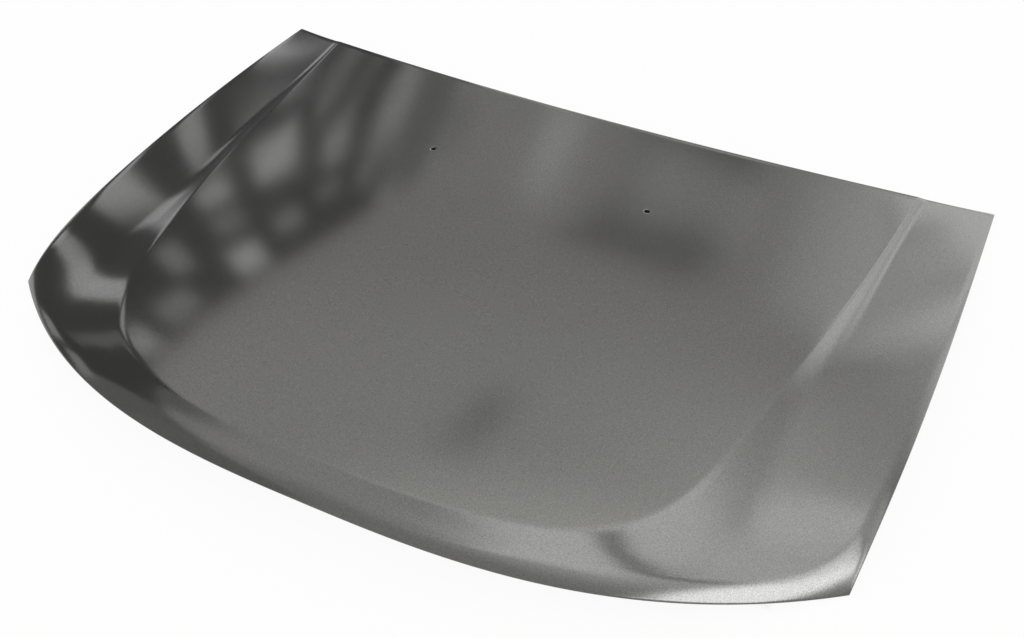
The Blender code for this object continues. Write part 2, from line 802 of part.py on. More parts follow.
def reinforcement(name, place, size, bolts, height, group, frame):
    """A plate with bolt holes and an upturned lip, lying on a pad of the inner panel."""
    bm = bmesh.new()
    width, length = size[0] - 2 * PLATE_MARGIN, size[1] - 2 * PLATE_MARGIN
    corners = rectangle(*place, width, length)
    z = height + CLEARANCE
    flat = rounded_outline(corners, PAD_RADIUS, PLATE_LIP, [2] * 4)
    lip = rounded_outline(corners, PAD_RADIUS, 0, [2] * 4)
    inner = [bm.verts.new((p.x, p.y, z)) for p in flat]
    outer = [bm.verts.new((p.x, p.y, z + PLATE_LIP)) for p in lip]
    ring(bm, outer, inner)
    holes = [[bm.verts.new((p.x, p.y, z)) for p in circle(x, y, BOLT_HOLE_RADIUS)] for x, y in bolts]
    fill(bm, [inner] + holes)
    made = add_object(name, bm, ((0.10, 0.10, 0.10), 0.45, 0.2), group, frame)
    thicken(made, PLATE_THICKNESS, 1.0)


def turned(bm, profile, capped):
    """A turned shape; the profile's points are radius, height and whether the ring is a hexagon."""
    rings = []
    for radius, z, hexagonal in profile:
        loop = []
        for k in range(FASTENER_SIDES):
            angle = 2 * math.pi * k / FASTENER_SIDES
            reach = radius
            if hexagonal:
                reach = radius / math.cos(angle % (math.pi / 3) - math.pi / 6)
            loop.append(bm.verts.new((reach * math.cos(angle), reach * math.sin(angle), z)))
        rings.append(loop)
    for near, far in zip(rings, rings[1:]):
        ring(bm, near, far)
    if capped:
        bm.faces.new(rings[0][::-1])
        bm.faces.new(rings[-1])
    else:
        ring(bm, rings[-1], rings[0])
    bmesh.ops.recalc_face_normals(bm, faces=bm.faces)


def weld_nut(name, x, y, z, group, frame):
    bm = bmesh.new()
    half = NUT_ACROSS_FLATS / 2
    turned(bm, [(half, 0, True), (half, NUT_HEIGHT, True), (THREAD_RADIUS, NUT_HEIGHT, False),
                (THREAD_RADIUS, 0, False)], False)
    made = add_object(name, bm, ((0.12, 0.12, 0.12), 0.5, 0.3), group, frame)
    made.location = (x, y, z)


def striker_bolt(name, x, y, z, length, group, frame):
    """A flanged bolt whose washer face lies at z under the striker plate."""
    bm = bmesh.new()
    half = NUT_ACROSS_FLATS / 2 - CLEARANCE
    shank = THREAD_RADIUS - CLEARANCE
    turned(bm, [(half, -BOLT_HEAD_HEIGHT - WASHER_HEIGHT, True), (half, -WASHER_HEIGHT, True),
                (WASHER_RADIUS, -WASHER_HEIGHT, False), (WASHER_RADIUS, 0, False), (shank, 0, False),
                (shank, length, False)], True)
    made = add_object(name, bm, ((0.55, 0.53, 0.48), 0.35, 1.0), group, frame)
    made.location = (x, y, z)


def striker_plate(top, group, frame):
    bm = bmesh.new()
    place = latch_place()
    outline = rounded_outline(rectangle(*place, *STRIKER_PLATE), STRIKER_PLATE[1] / 3, 0, [2] * 4)
    loop = [bm.verts.new((p.x, p.y, top)) for p in outline]
    holes = []
    for sign in (-1, 1):
        points = circle(sign * LATCH_BOLT_SPACING / 2, place.y, BOLT_HOLE_RADIUS)
        holes.append([bm.verts.new((p.x, p.y, top)) for p in points])
    fill(bm, [loop] + holes)
    made = add_object("striker_plate", bm, ((0.55, 0.53, 0.48), 0.4, 1.0), group, frame)
    thicken(made, STRIKER_PLATE_THICKNESS)


def striker_loop(top, group, frame):
    """The bent rod that hangs from the striker plate."""
    half, bend, drop = STRIKER_WIDTH / 2, STRIKER_BEND, STRIKER_DROP
    y = latch_place().y
    points = [(-half, top)]
    for k in range(ROD_BEND_STEPS + 1):
        angle = math.pi + math.pi / 2 * k / ROD_BEND_STEPS
        points.append((-half + bend + bend * math.cos(angle), top - drop + bend + bend * math.sin(angle)))
    points += [(-x, z) for x, z in reversed(points)]
    curve = bpy.data.curves.new("striker_loop", "CURVE")
    curve.dimensions = "3D"
    curve.bevel_depth = STRIKER_ROD_RADIUS
    curve.bevel_resolution = ROD_SIDE_STEPS
    curve.use_fill_caps = True
    spline = curve.splines.new("POLY")
    spline.points.add(len(points) - 1)
    for point, (x, z) in zip(spline.points, points):
        point.co = (x, y, z, 1)
    made = bpy.data.objects.new("striker_loop", curve)
    curve.materials.append(material("striker_loop", (0.55, 0.53, 0.48), 0.35, 1.0))
    group.objects.link(made)
    made.parent = frame


def mastic_places():
    """Middle of the long flanges beside the ribs, with the direction of each flange.

    The outermost flanges have none, because the skin turns down over them.
    """
    places = []
    openings = cells()
    for k, corners in enumerate(openings):
        middle = inset_corners(corners, CELL_WALL_RUN + CELL_FLANGE / 2)
        sides = []
        if k < len(openings) - 2:
            sides.append((middle[1], middle[2]))
        if corners[0].x > 0:
            sides.append((middle[3], middle[0]))
        places += [((a + b) / 2, (b - a).normalized()) for a, b in sides]
    return places


def mastic_pads(surface, group, frame):
    thickness = RIM_GAP - 2 * CLEARANCE
    number = 0
    for place, along_flange in mastic_places():
        for sign in (1, -1):
            number += 1
            hit, normal, _, _ = surface.tree.ray_cast(Vector((place.x, place.y, 1)), Vector((0, 0, -1)))
            centre = hit - normal * (SKIN_THICKNESS + (RIM_GAP + CLEARANCE) / 2)
            forward = Vector((along_flange.x, along_flange.y, 0))
            forward = (forward - normal * forward.dot(normal)).normalized()
            across = normal.cross(forward)
            bm = bmesh.new()
            bmesh.ops.create_cone(bm, cap_ends=True, segments=MASTIC_SIDES, radius1=0.5, radius2=0.5, depth=1)
            for vert in bm.verts:
                x, y, z = vert.co
                spot = centre + forward * x * MASTIC_LENGTH + across * y * MASTIC_WIDTH
                vert.co = spot + normal * z * thickness
                vert.co.x *= sign
            if sign < 0:
                bmesh.ops.reverse_faces(bm, faces=bm.faces)
            add_object(f"mastic_{number:02d}", bm, ((0.05, 0.05, 0.05), 0.8, 0.0), group, frame)


def main():
    for leftover in list(bpy.data.objects):
        bpy.data.objects.remove(leftover, do_unlink=True)
    group, cutters = collection("car_bonnet"), collection("cutters")
    frame = bpy.data.objects.new("bonnet_frame", None)
    group.objects.link(frame)

    surface = SkinSurface()
    lowest = outer_skin(surface, group, frame, cutters)
    frame.location = (0, -(SIDE_LENGTH - FRONT_BOW) / 2, -lowest)
    inner_panel(surface, group, frame)

    hinge = pad_height(surface, hinge_place(), HINGE_PAD_DROP)
    nut_lift = PLATE_THICKNESS + 2 * CLEARANCE
    for side, sign in (("left", -1), ("right", 1)):
        place = Vector((sign * hinge_place().x, hinge_place().y))
        bolts = [(sign * x, y) for x, y in hinge_bolts()]
        reinforcement(f"hinge_reinforcement_{side}", place, HINGE_PAD, bolts, hinge, group, frame)
        for end, (x, y) in zip(("front", "rear"), bolts):
            weld_nut(f"hinge_nut_{side}_{end}", x, y, hinge + nut_lift, group, frame)

    latch = pad_height(surface, latch_place(), LATCH_PAD_DROP)
    y = latch_place().y
    bolts = [(sign * LATCH_BOLT_SPACING / 2, y) for sign in (-1, 1)]
    reinforcement("latch_reinforcement", latch_place(), LATCH_PAD, bolts, latch, group, frame)
    plate_top = latch - INNER_THICKNESS - CLEARANCE
    bolt_seat = plate_top - STRIKER_PLATE_THICKNESS - CLEARANCE
    nut_seat = latch + nut_lift
    for side, (x, y) in zip(("left", "right"), bolts):
        weld_nut(f"striker_nut_{side}", x, y, nut_seat, group, frame)
        length = nut_seat + NUT_HEIGHT - bolt_seat
        striker_bolt(f"striker_bolt_{side}", x, y, bolt_seat, length, group, frame)
    striker_plate(plate_top, group, frame)
    striker_loop(bolt_seat, group, frame)
    mastic_pads(surface, group, frame)
    surface.bm.free()


main()
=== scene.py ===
import math

import bmesh
import bpy
from mathutils import Matrix, Vector
from mathutils.bvhtree import BVHTree
from mathutils.kdtree import KDTree


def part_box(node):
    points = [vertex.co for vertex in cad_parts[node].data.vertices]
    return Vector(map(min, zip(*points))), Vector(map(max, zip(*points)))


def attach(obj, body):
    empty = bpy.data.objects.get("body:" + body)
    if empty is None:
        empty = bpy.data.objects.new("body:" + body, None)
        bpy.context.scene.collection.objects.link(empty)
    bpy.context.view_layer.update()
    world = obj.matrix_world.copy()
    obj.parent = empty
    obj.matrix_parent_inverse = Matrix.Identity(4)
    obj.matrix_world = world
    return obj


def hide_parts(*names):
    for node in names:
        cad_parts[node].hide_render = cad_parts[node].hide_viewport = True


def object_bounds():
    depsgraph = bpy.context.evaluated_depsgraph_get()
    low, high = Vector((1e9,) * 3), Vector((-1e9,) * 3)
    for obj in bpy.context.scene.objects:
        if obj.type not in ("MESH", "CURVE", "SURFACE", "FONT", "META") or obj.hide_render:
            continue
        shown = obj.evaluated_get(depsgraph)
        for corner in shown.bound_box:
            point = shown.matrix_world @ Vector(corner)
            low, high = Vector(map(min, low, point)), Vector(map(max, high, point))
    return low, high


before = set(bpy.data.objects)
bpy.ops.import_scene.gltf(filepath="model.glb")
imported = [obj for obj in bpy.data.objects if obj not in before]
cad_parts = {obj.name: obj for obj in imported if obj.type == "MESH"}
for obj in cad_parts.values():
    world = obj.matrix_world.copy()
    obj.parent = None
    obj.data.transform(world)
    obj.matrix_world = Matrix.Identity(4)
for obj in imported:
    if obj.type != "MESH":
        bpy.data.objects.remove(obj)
cad_box = [list(corner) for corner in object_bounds()]

# Camera, worked out from the outline's perspective in the photograph
PHOTO_WIDTH = 1024
FOCAL_PIXELS = 1207.6
CAMERA_TURN, CAMERA_TILT, CAMERA_ROLL = 27.084, 44.735, -1.119
CAMERA_PLACE = Vector((0.7062, -1.2925, 1.3763))
SENSOR_WIDTH, CLIP_START = 36.0, 0.05

TINY = 1e-6

# The skin's own frame has y = 0 at the front corners and z = 0 at the outer face of the four corners
SKIN_SHIFT = Vector((0, -0.328, 0.0022))

# Outline and form of the skin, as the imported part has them
REAR_HALF_WIDTH, FRONT_HALF_WIDTH = 0.725, 0.701
SIDE_LENGTH, SIDE_BULGE_POWER = 0.870, 3.38
REAR_BOW, REAR_BOW_POWER = 0.128, 2.26
FRONT_BOW, FRONT_BOW_POWER = 0.214, 2.75
REAR_CROWN, REAR_CROWN_POWER = 0.0743, 2.41
FRONT_CROWN, FRONT_CROWN_POWER = 0.0485, 2.54
SIDE_CROWN, CORNER_DROP, CORNER_DROP_LENGTH = 0.0130, 0.0359, 0.063
SPINE_SETBACKS, SPINE_HEIGHTS = (0.054, 0.284, 0.614), (0.0845, 0.1085, 0.0970)
CROSS_CROWN, REAR_BLEND_LENGTH = 0.121, 0.12
CREASE_FRONT_INSET, CREASE_CORNER_INSET, CREASE_CORNER_SETBACK = 0.054, 0.236, 0.019
CREASE_CORNER_ANGLE, CREASE_REAR_INSET, CREASE_REAR_ANGLE = 21.0, 0.131, 5.0
CREASE_FRONT_HANDLE, CREASE_CORNER_HANDLE, CREASE_REAR_HANDLE = 0.33, 0.12, 0.35

# Values at the front centre, the front corner, the middle of the side and the rear corner. The strip is the flank
# beside the crease, and the foot is where it runs out into the shoulder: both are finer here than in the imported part.
STRIP_WIDTH = (0.012, 0.060, 0.014, 0.005)
STRIP_SLOPE = (0.34, 0.22, 0.19, 0.13)
CREASE_ROUND = (0.010, 0.020, 0.008, 0.006)
FOOT_ROUND = (0.012, 0.050, 0.036, 0.016)
ROLL_SLOPE = (0.60, 0.45, 0.10, 0.05)
ROLL_WIDTH = (0.028, 0.035, 0.020, 0.015)
ROUND_SHARE, SLOPE_PROBE, LEAST_SHOULDER, SPINE_LEAD = 0.8, 0.001, 0.002, 0.1

SKIN_THICKNESS, HEM_HEIGHT, HEM_DEPTH, FLANGE_WIDTH = 0.00075, 0.00275, 0.012, 0.024
WASHER_HOLE_X, WASHER_HOLE_Y, WASHER_HOLE_RADIUS = 0.203, 0.521, 0.005

# Inner panel: beams, openings, pads and holes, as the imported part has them
INNER_THICKNESS, CLEARANCE, WALL_RUN, RIM_GAP = 0.00065, 0.0003, 0.011, 0.0036
BEAM_DEPTH, BEAM_DEPTH_EASE = 0.024, 0.75
SIDE_BEAM, FRONT_BEAM, REAR_BEAM = 0.112, 0.088, 0.100
LATCH_BEAM_EXTRA, LATCH_BEAM_SPREAD = 0.050, 0.20
RIB_PAIRS, RIB_WIDTH, RIB_CONVERGENCE = 3, 0.046, 0.80
CROSS_RIB_SETBACK, CROSS_RIB_WIDTH = 0.290, 0.060
CELL_RADIUS, CELL_WALL_RUN, CELL_FLANGE = 0.026, 0.009, 0.010
DRAIN_HOLE_PLACES, DRAIN_HOLE_RADIUS = (0.139, 0.331, 0.505), 0.006
FRONT_TOOLING_HOLES_X, FRONT_TOOLING_HOLE_INSET = (0.245, 0.456), 0.026
REAR_TOOLING_HOLES_X, REAR_TOOLING_HOLE_SETBACK = (0.109, 0.326, 0.522), 0.066
TOOLING_HOLE_RADIUS = 0.010
HINGE_INSET, HINGE_SETBACK, HINGE_PAD, HINGE_BOLT_SPACING = 0.075, 0.165, (0.042, 0.092), 0.052
LATCH_SETBACK, LATCH_PAD, LATCH_BOLT_SPACING = 0.098, (0.124, 0.046), 0.086
PAD_RADIUS, PAD_RAMP, BOLT_HOLE_RADIUS = 0.012, 0.008, 0.0046
INNER_PITCH, INNER_EDGE = 0.0046, 0.0026
RIM_STEPS, SIDE_STEPS = 700, 900


def smooth(t):
    t = min(max(t, 0.0), 1.0)
    return t * t * (3 - 2 * t)


def smooth_area(t):
    """Area under smooth() from 0 to t."""
    if t <= 0:
        return 0.0
    if t < 1:
        return t ** 3 - t ** 4 / 2
    return t - 0.5


def along(values, place):
    """A value round the rim: 0 front centre, 1 front corner, 1.5 middle of the side, 2 rear corner."""
    knots = (0.0, 1.0, 1.5, 2.0)
    for k in range(3):
        if place <= knots[k + 1]:
            t = smooth((place - knots[k]) / (knots[k + 1] - knots[k]))
            return values[k] + (values[k + 1] - values[k]) * t
    return values[-1]


def front_edge(u):
    """The front edge, from the middle (0) to the corner (1)."""
    y = -FRONT_BOW * (1 - u ** FRONT_BOW_POWER)
    return Vector((FRONT_HALF_WIDTH * u, y, FRONT_CROWN * (1 - u ** FRONT_CROWN_POWER)))


def side_edge(t):
    """The side edge, from the front corner (0) to the rear corner (1)."""
    x = FRONT_HALF_WIDTH + (REAR_HALF_WIDTH - FRONT_HALF_WIDTH) * (1 - (1 - t) ** SIDE_BULGE_POWER)
    y = SIDE_LENGTH * t
    rise = 1 - math.exp(-y / CORNER_DROP_LENGTH)
    full = 1 - math.exp(-SIDE_LENGTH / CORNER_DROP_LENGTH)
    return Vector((x, y, 4 * SIDE_CROWN * t * (1 - t) + CORNER_DROP * (rise - t * full)))


def rear_y(x):
    return SIDE_LENGTH - REAR_BOW * (1 - (abs(x) / REAR_HALF_WIDTH) ** REAR_BOW_POWER)


def rear_z(x):
    return REAR_CROWN * (1 - (abs(x) / REAR_HALF_WIDTH) ** REAR_CROWN_POWER)


def spine_height(y):
    """Smooth curve through the heights of the centre line."""
    places = [-FRONT_BOW + s for s in SPINE_SETBACKS] + [rear_y(0)]
    total = 0.0
    for i, (yi, zi) in enumerate(zip(places, list(SPINE_HEIGHTS) + [REAR_CROWN])):
        term = zi
        for k, yk in enumerate(places):
            if k != i:
                term *= (y - yk) / (yi - yk)
        total += term
    return total


def centre_height(x, y):
    """Height of the raised centre, which meets the rear edge exactly."""
    plain = spine_height(y) - CROSS_CROWN * x * x
    edge = rear_y(x)
    error = rear_z(x) - (spine_height(edge) - CROSS_CROWN * x * x)
    return plain + error * math.exp(-(edge - y) / REAR_BLEND_LENGTH)


def crease_point(place):
    """The crease in plan, along two curves that meet inside the front corner."""
    start = Vector((0, -FRONT_BOW + CREASE_FRONT_INSET, 0))
    corner = Vector((FRONT_HALF_WIDTH - CREASE_CORNER_INSET, CREASE_CORNER_SETBACK, 0))
    rear_x = REAR_HALF_WIDTH - CREASE_REAR_INSET
    end = Vector((rear_x, rear_y(rear_x), 0))
    turn, lean = math.radians(CREASE_CORNER_ANGLE), math.radians(CREASE_REAR_ANGLE)
    tangent = Vector((math.sin(turn), math.cos(turn), 0)) * CREASE_CORNER_HANDLE
    rear_handle = Vector((math.sin(lean), math.cos(lean), 0)) * CREASE_REAR_HANDLE
    if place <= 1:
        knots, t = (start, start + Vector((CREASE_FRONT_HANDLE, 0, 0)), corner - tangent, corner), place
    else:
        knots, t = (corner, corner + tangent, end - rear_handle, end), place - 1
    s = 1 - t
    weights = (s ** 3, 3 * s * s * t, 3 * s * t * t, t ** 3)
    return sum((k * w for k, w in zip(knots, weights)), Vector((0, 0, 0)))


class Station:
    """One line across the skin, from its edge over the crease to the centre line."""

    def __init__(self, place):
        self.edge = front_edge(place) if place <= 1 else side_edge(place - 1)
        self.crease = crease_point(place)
        self.crease.z = centre_height(self.crease.x, self.crease.y)
        plan = (self.edge - self.crease) * Vector((1, 1, 0))
        self.width = plan.length
        self.out = plan.normalized()
        self.rearness = max(place - 1, 0.0)
        probe = self.crease - self.out * SLOPE_PROBE
        self.crown_slope = (centre_height(probe.x, probe.y) - self.crease.z) / SLOPE_PROBE
        room = self.width - FLANGE_WIDTH - CREASE_ROUND[0]
        strip, foot = along(STRIP_WIDTH, place), along(FOOT_ROUND, place)
        fit = min(1.0, room / (strip + foot))
        self.strip, self.foot = strip * fit, foot * fit
        self.round = min(along(CREASE_ROUND, place), ROUND_SHARE * self.strip)
        self.roll_width, self.roll_slope = along(ROLL_WIDTH, place), along(ROLL_SLOPE, place)
        self.strip_slope = self.crown_slope + along(STRIP_SLOPE, place)
        fall = self.crease.z - self.edge.z - self.crown_slope * self.width
        fall -= (self.strip_slope - self.crown_slope) * self.round * smooth_area(self.width / self.round)
        fall -= self.roll_slope * self.roll_width / 2
        self.shoulder_slope = self.strip_slope
        self.shoulder_slope += fall / (self.foot * smooth_area((self.width - self.strip) / self.foot))

    def outside(self, d):
        """Point at distance d outside the crease, in plan."""
        share = d / self.width
        x = self.crease.x + (self.edge.x - self.crease.x) * share
        level = share
        if self.rearness > 0:
            power = REAR_BOW_POWER
            bowed = (x ** power - self.crease.x ** power) / (self.edge.x ** power - self.crease.x ** power)
            level = share + (bowed - share) * self.rearness
        y = self.crease.y + (self.edge.y - self.crease.y) * level
        z = self.crease.z - self.crown_slope * d
        z -= (self.strip_slope - self.crown_slope) * self.round * smooth_area(d / self.round)
        z -= (self.shoulder_slope - self.strip_slope) * self.foot * smooth_area((d - self.strip) / self.foot)
        start = self.width - self.roll_width
        z -= self.roll_slope * self.roll_width * smooth_area((d - start) / self.roll_width)
        return Vector((x, y, z))

    def inside(self, q, spine_y):
        """Point of the raised centre, from the crease (0) to the centre line (1)."""
        x = self.crease.x * (1 - q)
        y = spine_y + (self.crease.y - spine_y) * (1 - q) ** REAR_BOW_POWER
        return Vector((x, y, centre_height(x, y)))


def spine_y(place):
    """Where a line across the skin ends on the centre line."""
    start = -FRONT_BOW + CREASE_FRONT_INSET + SPINE_LEAD
    reach = rear_y(0) - start
    return start + reach * (place / 2) ** (2 * SIDE_LENGTH / reach)


# Lines and rows of the fine skin: rows from edge to crease, then from crease to centre line
FRONT_LINES, SIDE_LINES = 72, 84
ROLL_ROWS, SHOULDER_ROWS, FOOT_ROWS, STRIP_ROWS, ROUND_ROWS, CENTRE_ROWS = 9, 10, 10, 5, 6, 36
FOLD_STEPS, RETURN_STEPS = 6, 3
CORNER_COSINE = 0.94
CORNER_REACH, CORNER_PASSES, CORNER_HOLD = 18, 40, 1.25
HOLE_REACH, HOLE_CUTS = 0.012, 7


def spread(start, end, count):
    return [start + (end - start) * k / count for k in range(count)]


def line_points(place):
    """Points across the skin, from the rim to the centre line."""
    line = Station(place)
    foot = line.strip + line.foot
    roll = max(line.width - line.roll_width, foot + LEAST_SHOULDER)
    rows = spread(line.width, roll, ROLL_ROWS) + spread(roll, foot, SHOULDER_ROWS)
    rows += spread(foot, line.strip, FOOT_ROWS) + spread(line.strip, line.round, STRIP_ROWS)
    rows += spread(line.round, 0.0, ROUND_ROWS)
    points = [line.outside(d) for d in rows]
    return points + [line.inside(k / CENTRE_ROWS, spine_y(place)) for k in range(CENTRE_ROWS + 1)]


def soften_corner(lines):
    """Round the hip that runs in from the front corner, and leave the rim and the crease as they are."""
    shoulder_end = ROLL_ROWS + SHOULDER_ROWS + FOOT_ROWS
    for _ in range(CORNER_PASSES):
        before = [[point.copy() for point in line] for line in lines]
        for i in range(FRONT_LINES - CORNER_REACH, FRONT_LINES + CORNER_REACH):
            near = smooth(CORNER_HOLD * (1 - abs(i - FRONT_LINES) / CORNER_REACH))
            for j in range(1, shoulder_end):
                share = near * smooth(j / ROLL_ROWS) * smooth((shoulder_end - j) / FOOT_ROWS)
                middle = (before[i - 1][j] + before[i + 1][j]) / 2
                lines[i][j] = before[i][j].lerp(middle, share / 2)


def half_skin():
    """Outer face of the skin's right half, as a grid laid on the lines."""
    places = spread(0.0, 1.0, FRONT_LINES) + [1 + t for t in spread(0.0, 1.0, SIDE_LINES)] + [2.0]
    lines = [line_points(p) for p in places]
    soften_corner(lines)
    bm = bmesh.new()
    columns, rows = len(lines) - 1, len(lines[0]) - 1
    bmesh.ops.create_grid(bm, x_segments=columns, y_segments=rows, size=0.5)
    for vert in bm.verts:
        i, j = round((vert.co.x + 0.5) * columns), round((vert.co.y + 0.5) * rows)
        vert.co = lines[i][j] + SKIN_SHIFT
        if i == 0 or j == rows:
            vert.co.x = 0
    bmesh.ops.recalc_face_normals(bm, faces=bm.faces)
    if sum(f.normal.z for f in bm.faces) < 0:
        bmesh.ops.reverse_faces(bm, faces=bm.faces)
    bm.normal_update()
    return bm


def fold_rim(bm):
    """Rolls the rim's edges round the hem and back under the skin."""
    tree = BVHTree.FromBMesh(bm)
    edges = [e for e in bm.edges if e.is_boundary and max(v.co.x for v in e.verts) > TINY]
    rim = set(edges)
    radius = HEM_HEIGHT / 2
    frames = {}
    corners = []
    for vert in {v for e in edges for v in e.verts}:
        ways = []
        for edge in vert.link_edges:
            if edge in rim:
                way = (edge.verts[1].co - edge.verts[0].co).cross(vert.normal)
                inner = edge.link_faces[0].calc_center_median()
                middle = (edge.verts[0].co + edge.verts[1].co) / 2
                ways.append(way if way.dot(middle - inner) > 0 else -way)
        normal = vert.normal.copy()
        if vert.co.x == 0:
            normal.x = 0
            ways = [w * Vector((0, 1, 1)) for w in ways]
        ways = [w.normalized() for w in ways]
        frames[vert] = (normal.normalized(), (ways[0] + ways[-1]) / (1 + ways[0].dot(ways[-1])))
        if ways[0].dot(ways[-1]) < CORNER_COSINE:
            corners.append((vert.co.copy(), math.tan((math.pi - ways[0].angle(ways[-1])) / 2)))
    room = {v: min((v.co - c).length * slope or 1.0 for c, slope in corners) for v in frames}
    for vert, (_, out) in frames.items():
        vert.co -= out * radius
    row = {vert: vert for vert in frames}
    start = {vert: vert.co.copy() for vert in frames}
    for step in range(1, FOLD_STEPS + RETURN_STEPS + 1):
        grown = bmesh.ops.extrude_edge_only(bm, edges=edges)["geom"]
        edges = [g for g in grown if isinstance(g, bmesh.types.BMEdge)]
        made = {v.co.copy().freeze(): v for v in grown if isinstance(v, bmesh.types.BMVert)}
        for vert, (normal, out) in frames.items():
            new = made[row[vert].co.copy().freeze()]
            if step <= FOLD_STEPS:
                turn = math.pi * step / FOLD_STEPS
                swing = normal * math.cos(turn) + out * math.sin(turn)
                new.co = start[vert] + (swing - normal) * radius
            else:
                reach = min(HEM_DEPTH * (step - FOLD_STEPS) / RETURN_STEPS, room[vert])
                place, across, _, _ = tree.find_nearest(start[vert] - out * reach)
                new.co = place - across * HEM_HEIGHT
                new.co.z = max(new.co.z, SKIN_THICKNESS)
            if vert.co.x == 0:
                new.co.x = 0
            row[vert] = new


def whole(bm):
    """The other half as well, joined on the middle plane."""
    geometry = bm.verts[:] + bm.edges[:] + bm.faces[:]
    bmesh.ops.mirror(bm, geom=geometry, axis="X", merge_dist=TINY)
    bmesh.ops.recalc_face_normals(bm, faces=bm.faces)
    highest = max(bm.faces, key=lambda f: f.calc_center_median().z)
    if highest.normal.z < 0:
        bmesh.ops.reverse_faces(bm, faces=bm.faces)
    for vert in bm.verts:
        vert.co = [min(max(c, low), high) for c, low, high in zip(vert.co, *cad_box)]
    return bm


def linked(name, bm, material):
    """An object at the origin with the mesh and one material."""
    mesh = bpy.data.meshes.new(name)
    bm.to_mesh(mesh)
    bm.free()
    mesh.materials.append(material)
    made = bpy.data.objects.new(name, mesh)
    bpy.context.scene.collection.objects.link(made)
    return made


def add_piece(name, bm, material, replaced, smooth_angle):
    """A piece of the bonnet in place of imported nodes, smooth up to the given angle between faces."""
    made = linked(name, bm, material)
    made.data.shade_smooth()
    made.data.set_sharp_from_angle(angle=math.radians(smooth_angle))
    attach(made, "root")
    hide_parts(*replaced)
    return made


def solidify(obj, thickness):
    wall = obj.modifiers.new("sheet", "SOLIDIFY")
    wall.thickness, wall.offset = thickness, -1.0


def principled(name, colour, roughness, metallic=0.0):
    made = bpy.data.materials.new(name)
    made.use_nodes = True
    shader = made.node_tree.nodes["Principled BSDF"]
    shader.inputs["Base Color"].default_value = (*colour, 1)
    shader.inputs["Roughness"].default_value = roughness
    shader.inputs["Metallic"].default_value = metallic
    return made, shader


def add_node(tree, kind, values=(), **settings):
    """A node with its settings, and its first inputs set or linked in order."""
    node = tree.nodes.new(kind)
    for key, value in settings.items():
        setattr(node, key, value)
    for socket, value in zip(node.inputs, values):
        fill(tree, socket, value)
    return node


def fill(tree, socket, value):
    if isinstance(value, bpy.types.NodeSocket):
        tree.links.new(value, socket)
    else:
        socket.default_value = value


def calc(tree, operation, *values):
    return add_node(tree, "ShaderNodeMath", values, operation=operation).outputs[0]


def ease(tree, value, low, high, start=0.0, end=1.0):
    """Smooth step of a value between two limits."""
    node = add_node(tree, "ShaderNodeMapRange", (value, low, high, start, end), interpolation_type="SMOOTHSTEP")
    return node.outputs[0]


def noise(tree, place, scale, detail, roughness=0.5):
    node = add_node(tree, "ShaderNodeTexNoise", noise_dimensions="3D")
    for socket, value in (("Vector", place), ("Scale", scale), ("Detail", detail), ("Roughness", roughness)):
        fill(tree, node.inputs[socket], value)
    return node.outputs[0]


def object_place(tree):
    return add_node(tree, "ShaderNodeTexCoord").outputs["Object"]


# Finishes
CLOUD_DETAIL = 3.0


def mottle_group():
    """Fine grain and broad clouds in a colour and in its gloss, shared by all finishes."""
    group = bpy.data.node_groups.new("mottle", "ShaderNodeTree")
    new_socket = group.interface.new_socket
    for name, kind in (("Place", "Vector"), ("Colour", "Color"), ("Grain Scale", "Float"), ("Grain Detail", "Float"),
                       ("Grain Roughness", "Float"), ("Grain Strength", "Float"), ("Cloud Scale", "Float"),
                       ("Cloud Strength", "Float"), ("Gloss", "Float"), ("Gloss Change", "Float")):
        new_socket(name, in_out="INPUT", socket_type="NodeSocket" + kind)
    for name, kind in (("Colour", "Color"), ("Roughness", "Float"), ("Grain", "Float")):
        new_socket(name, in_out="OUTPUT", socket_type="NodeSocket" + kind)
    given, result = group.nodes.new("NodeGroupInput").outputs, group.nodes.new("NodeGroupOutput")
    grain = noise(group, given["Place"], given["Grain Scale"], given["Grain Detail"], given["Grain Roughness"])
    clouds = noise(group, given["Place"], given["Cloud Scale"], CLOUD_DETAIL)
    off_grain, off_clouds = (calc(group, "SUBTRACT", value, 0.5) for value in (grain, clouds))
    tone = calc(group, "MULTIPLY_ADD", off_grain, given["Grain Strength"], 1.0)
    tone = calc(group, "MULTIPLY_ADD", off_clouds, given["Cloud Strength"], tone)
    tint = add_node(group, "ShaderNodeVectorMath", (given["Colour"],), operation="SCALE")
    group.links.new(tone, tint.inputs["Scale"])
    gloss = calc(group, "MULTIPLY_ADD", off_clouds, given["Gloss Change"], given["Gloss"])
    for socket, value in zip(result.inputs, (tint.outputs[0], gloss, grain)):
        group.links.new(value, socket)
    return group


mottle = mottle_group()


def mottled(tree, shader, colour, gloss, grain, clouds, gloss_change=None):
    """Place the mottle group; grain has scale, detail, roughness and strength, clouds have scale and strength."""
    node = add_node(tree, "ShaderNodeGroup", node_tree=mottle)
    values = (object_place(tree), (*colour, 1), *grain, *clouds, gloss, gloss_change or 0.0)
    for socket, value in zip(node.inputs, values):
        fill(tree, socket, value)
    tree.links.new(node.outputs["Colour"], shader.inputs["Base Color"])
    if gloss_change:
        tree.links.new(node.outputs["Roughness"], shader.inputs["Roughness"])
    return node.outputs["Grain"]


def bumped(tree, shader, height, strength, distance):
    bump = add_node(tree, "ShaderNodeBump")
    bump.inputs["Strength"].default_value = strength
    bump.inputs["Distance"].default_value = distance
    tree.links.new(height, bump.inputs["Height"])
    tree.links.new(bump.outputs[0], shader.inputs["Normal"])


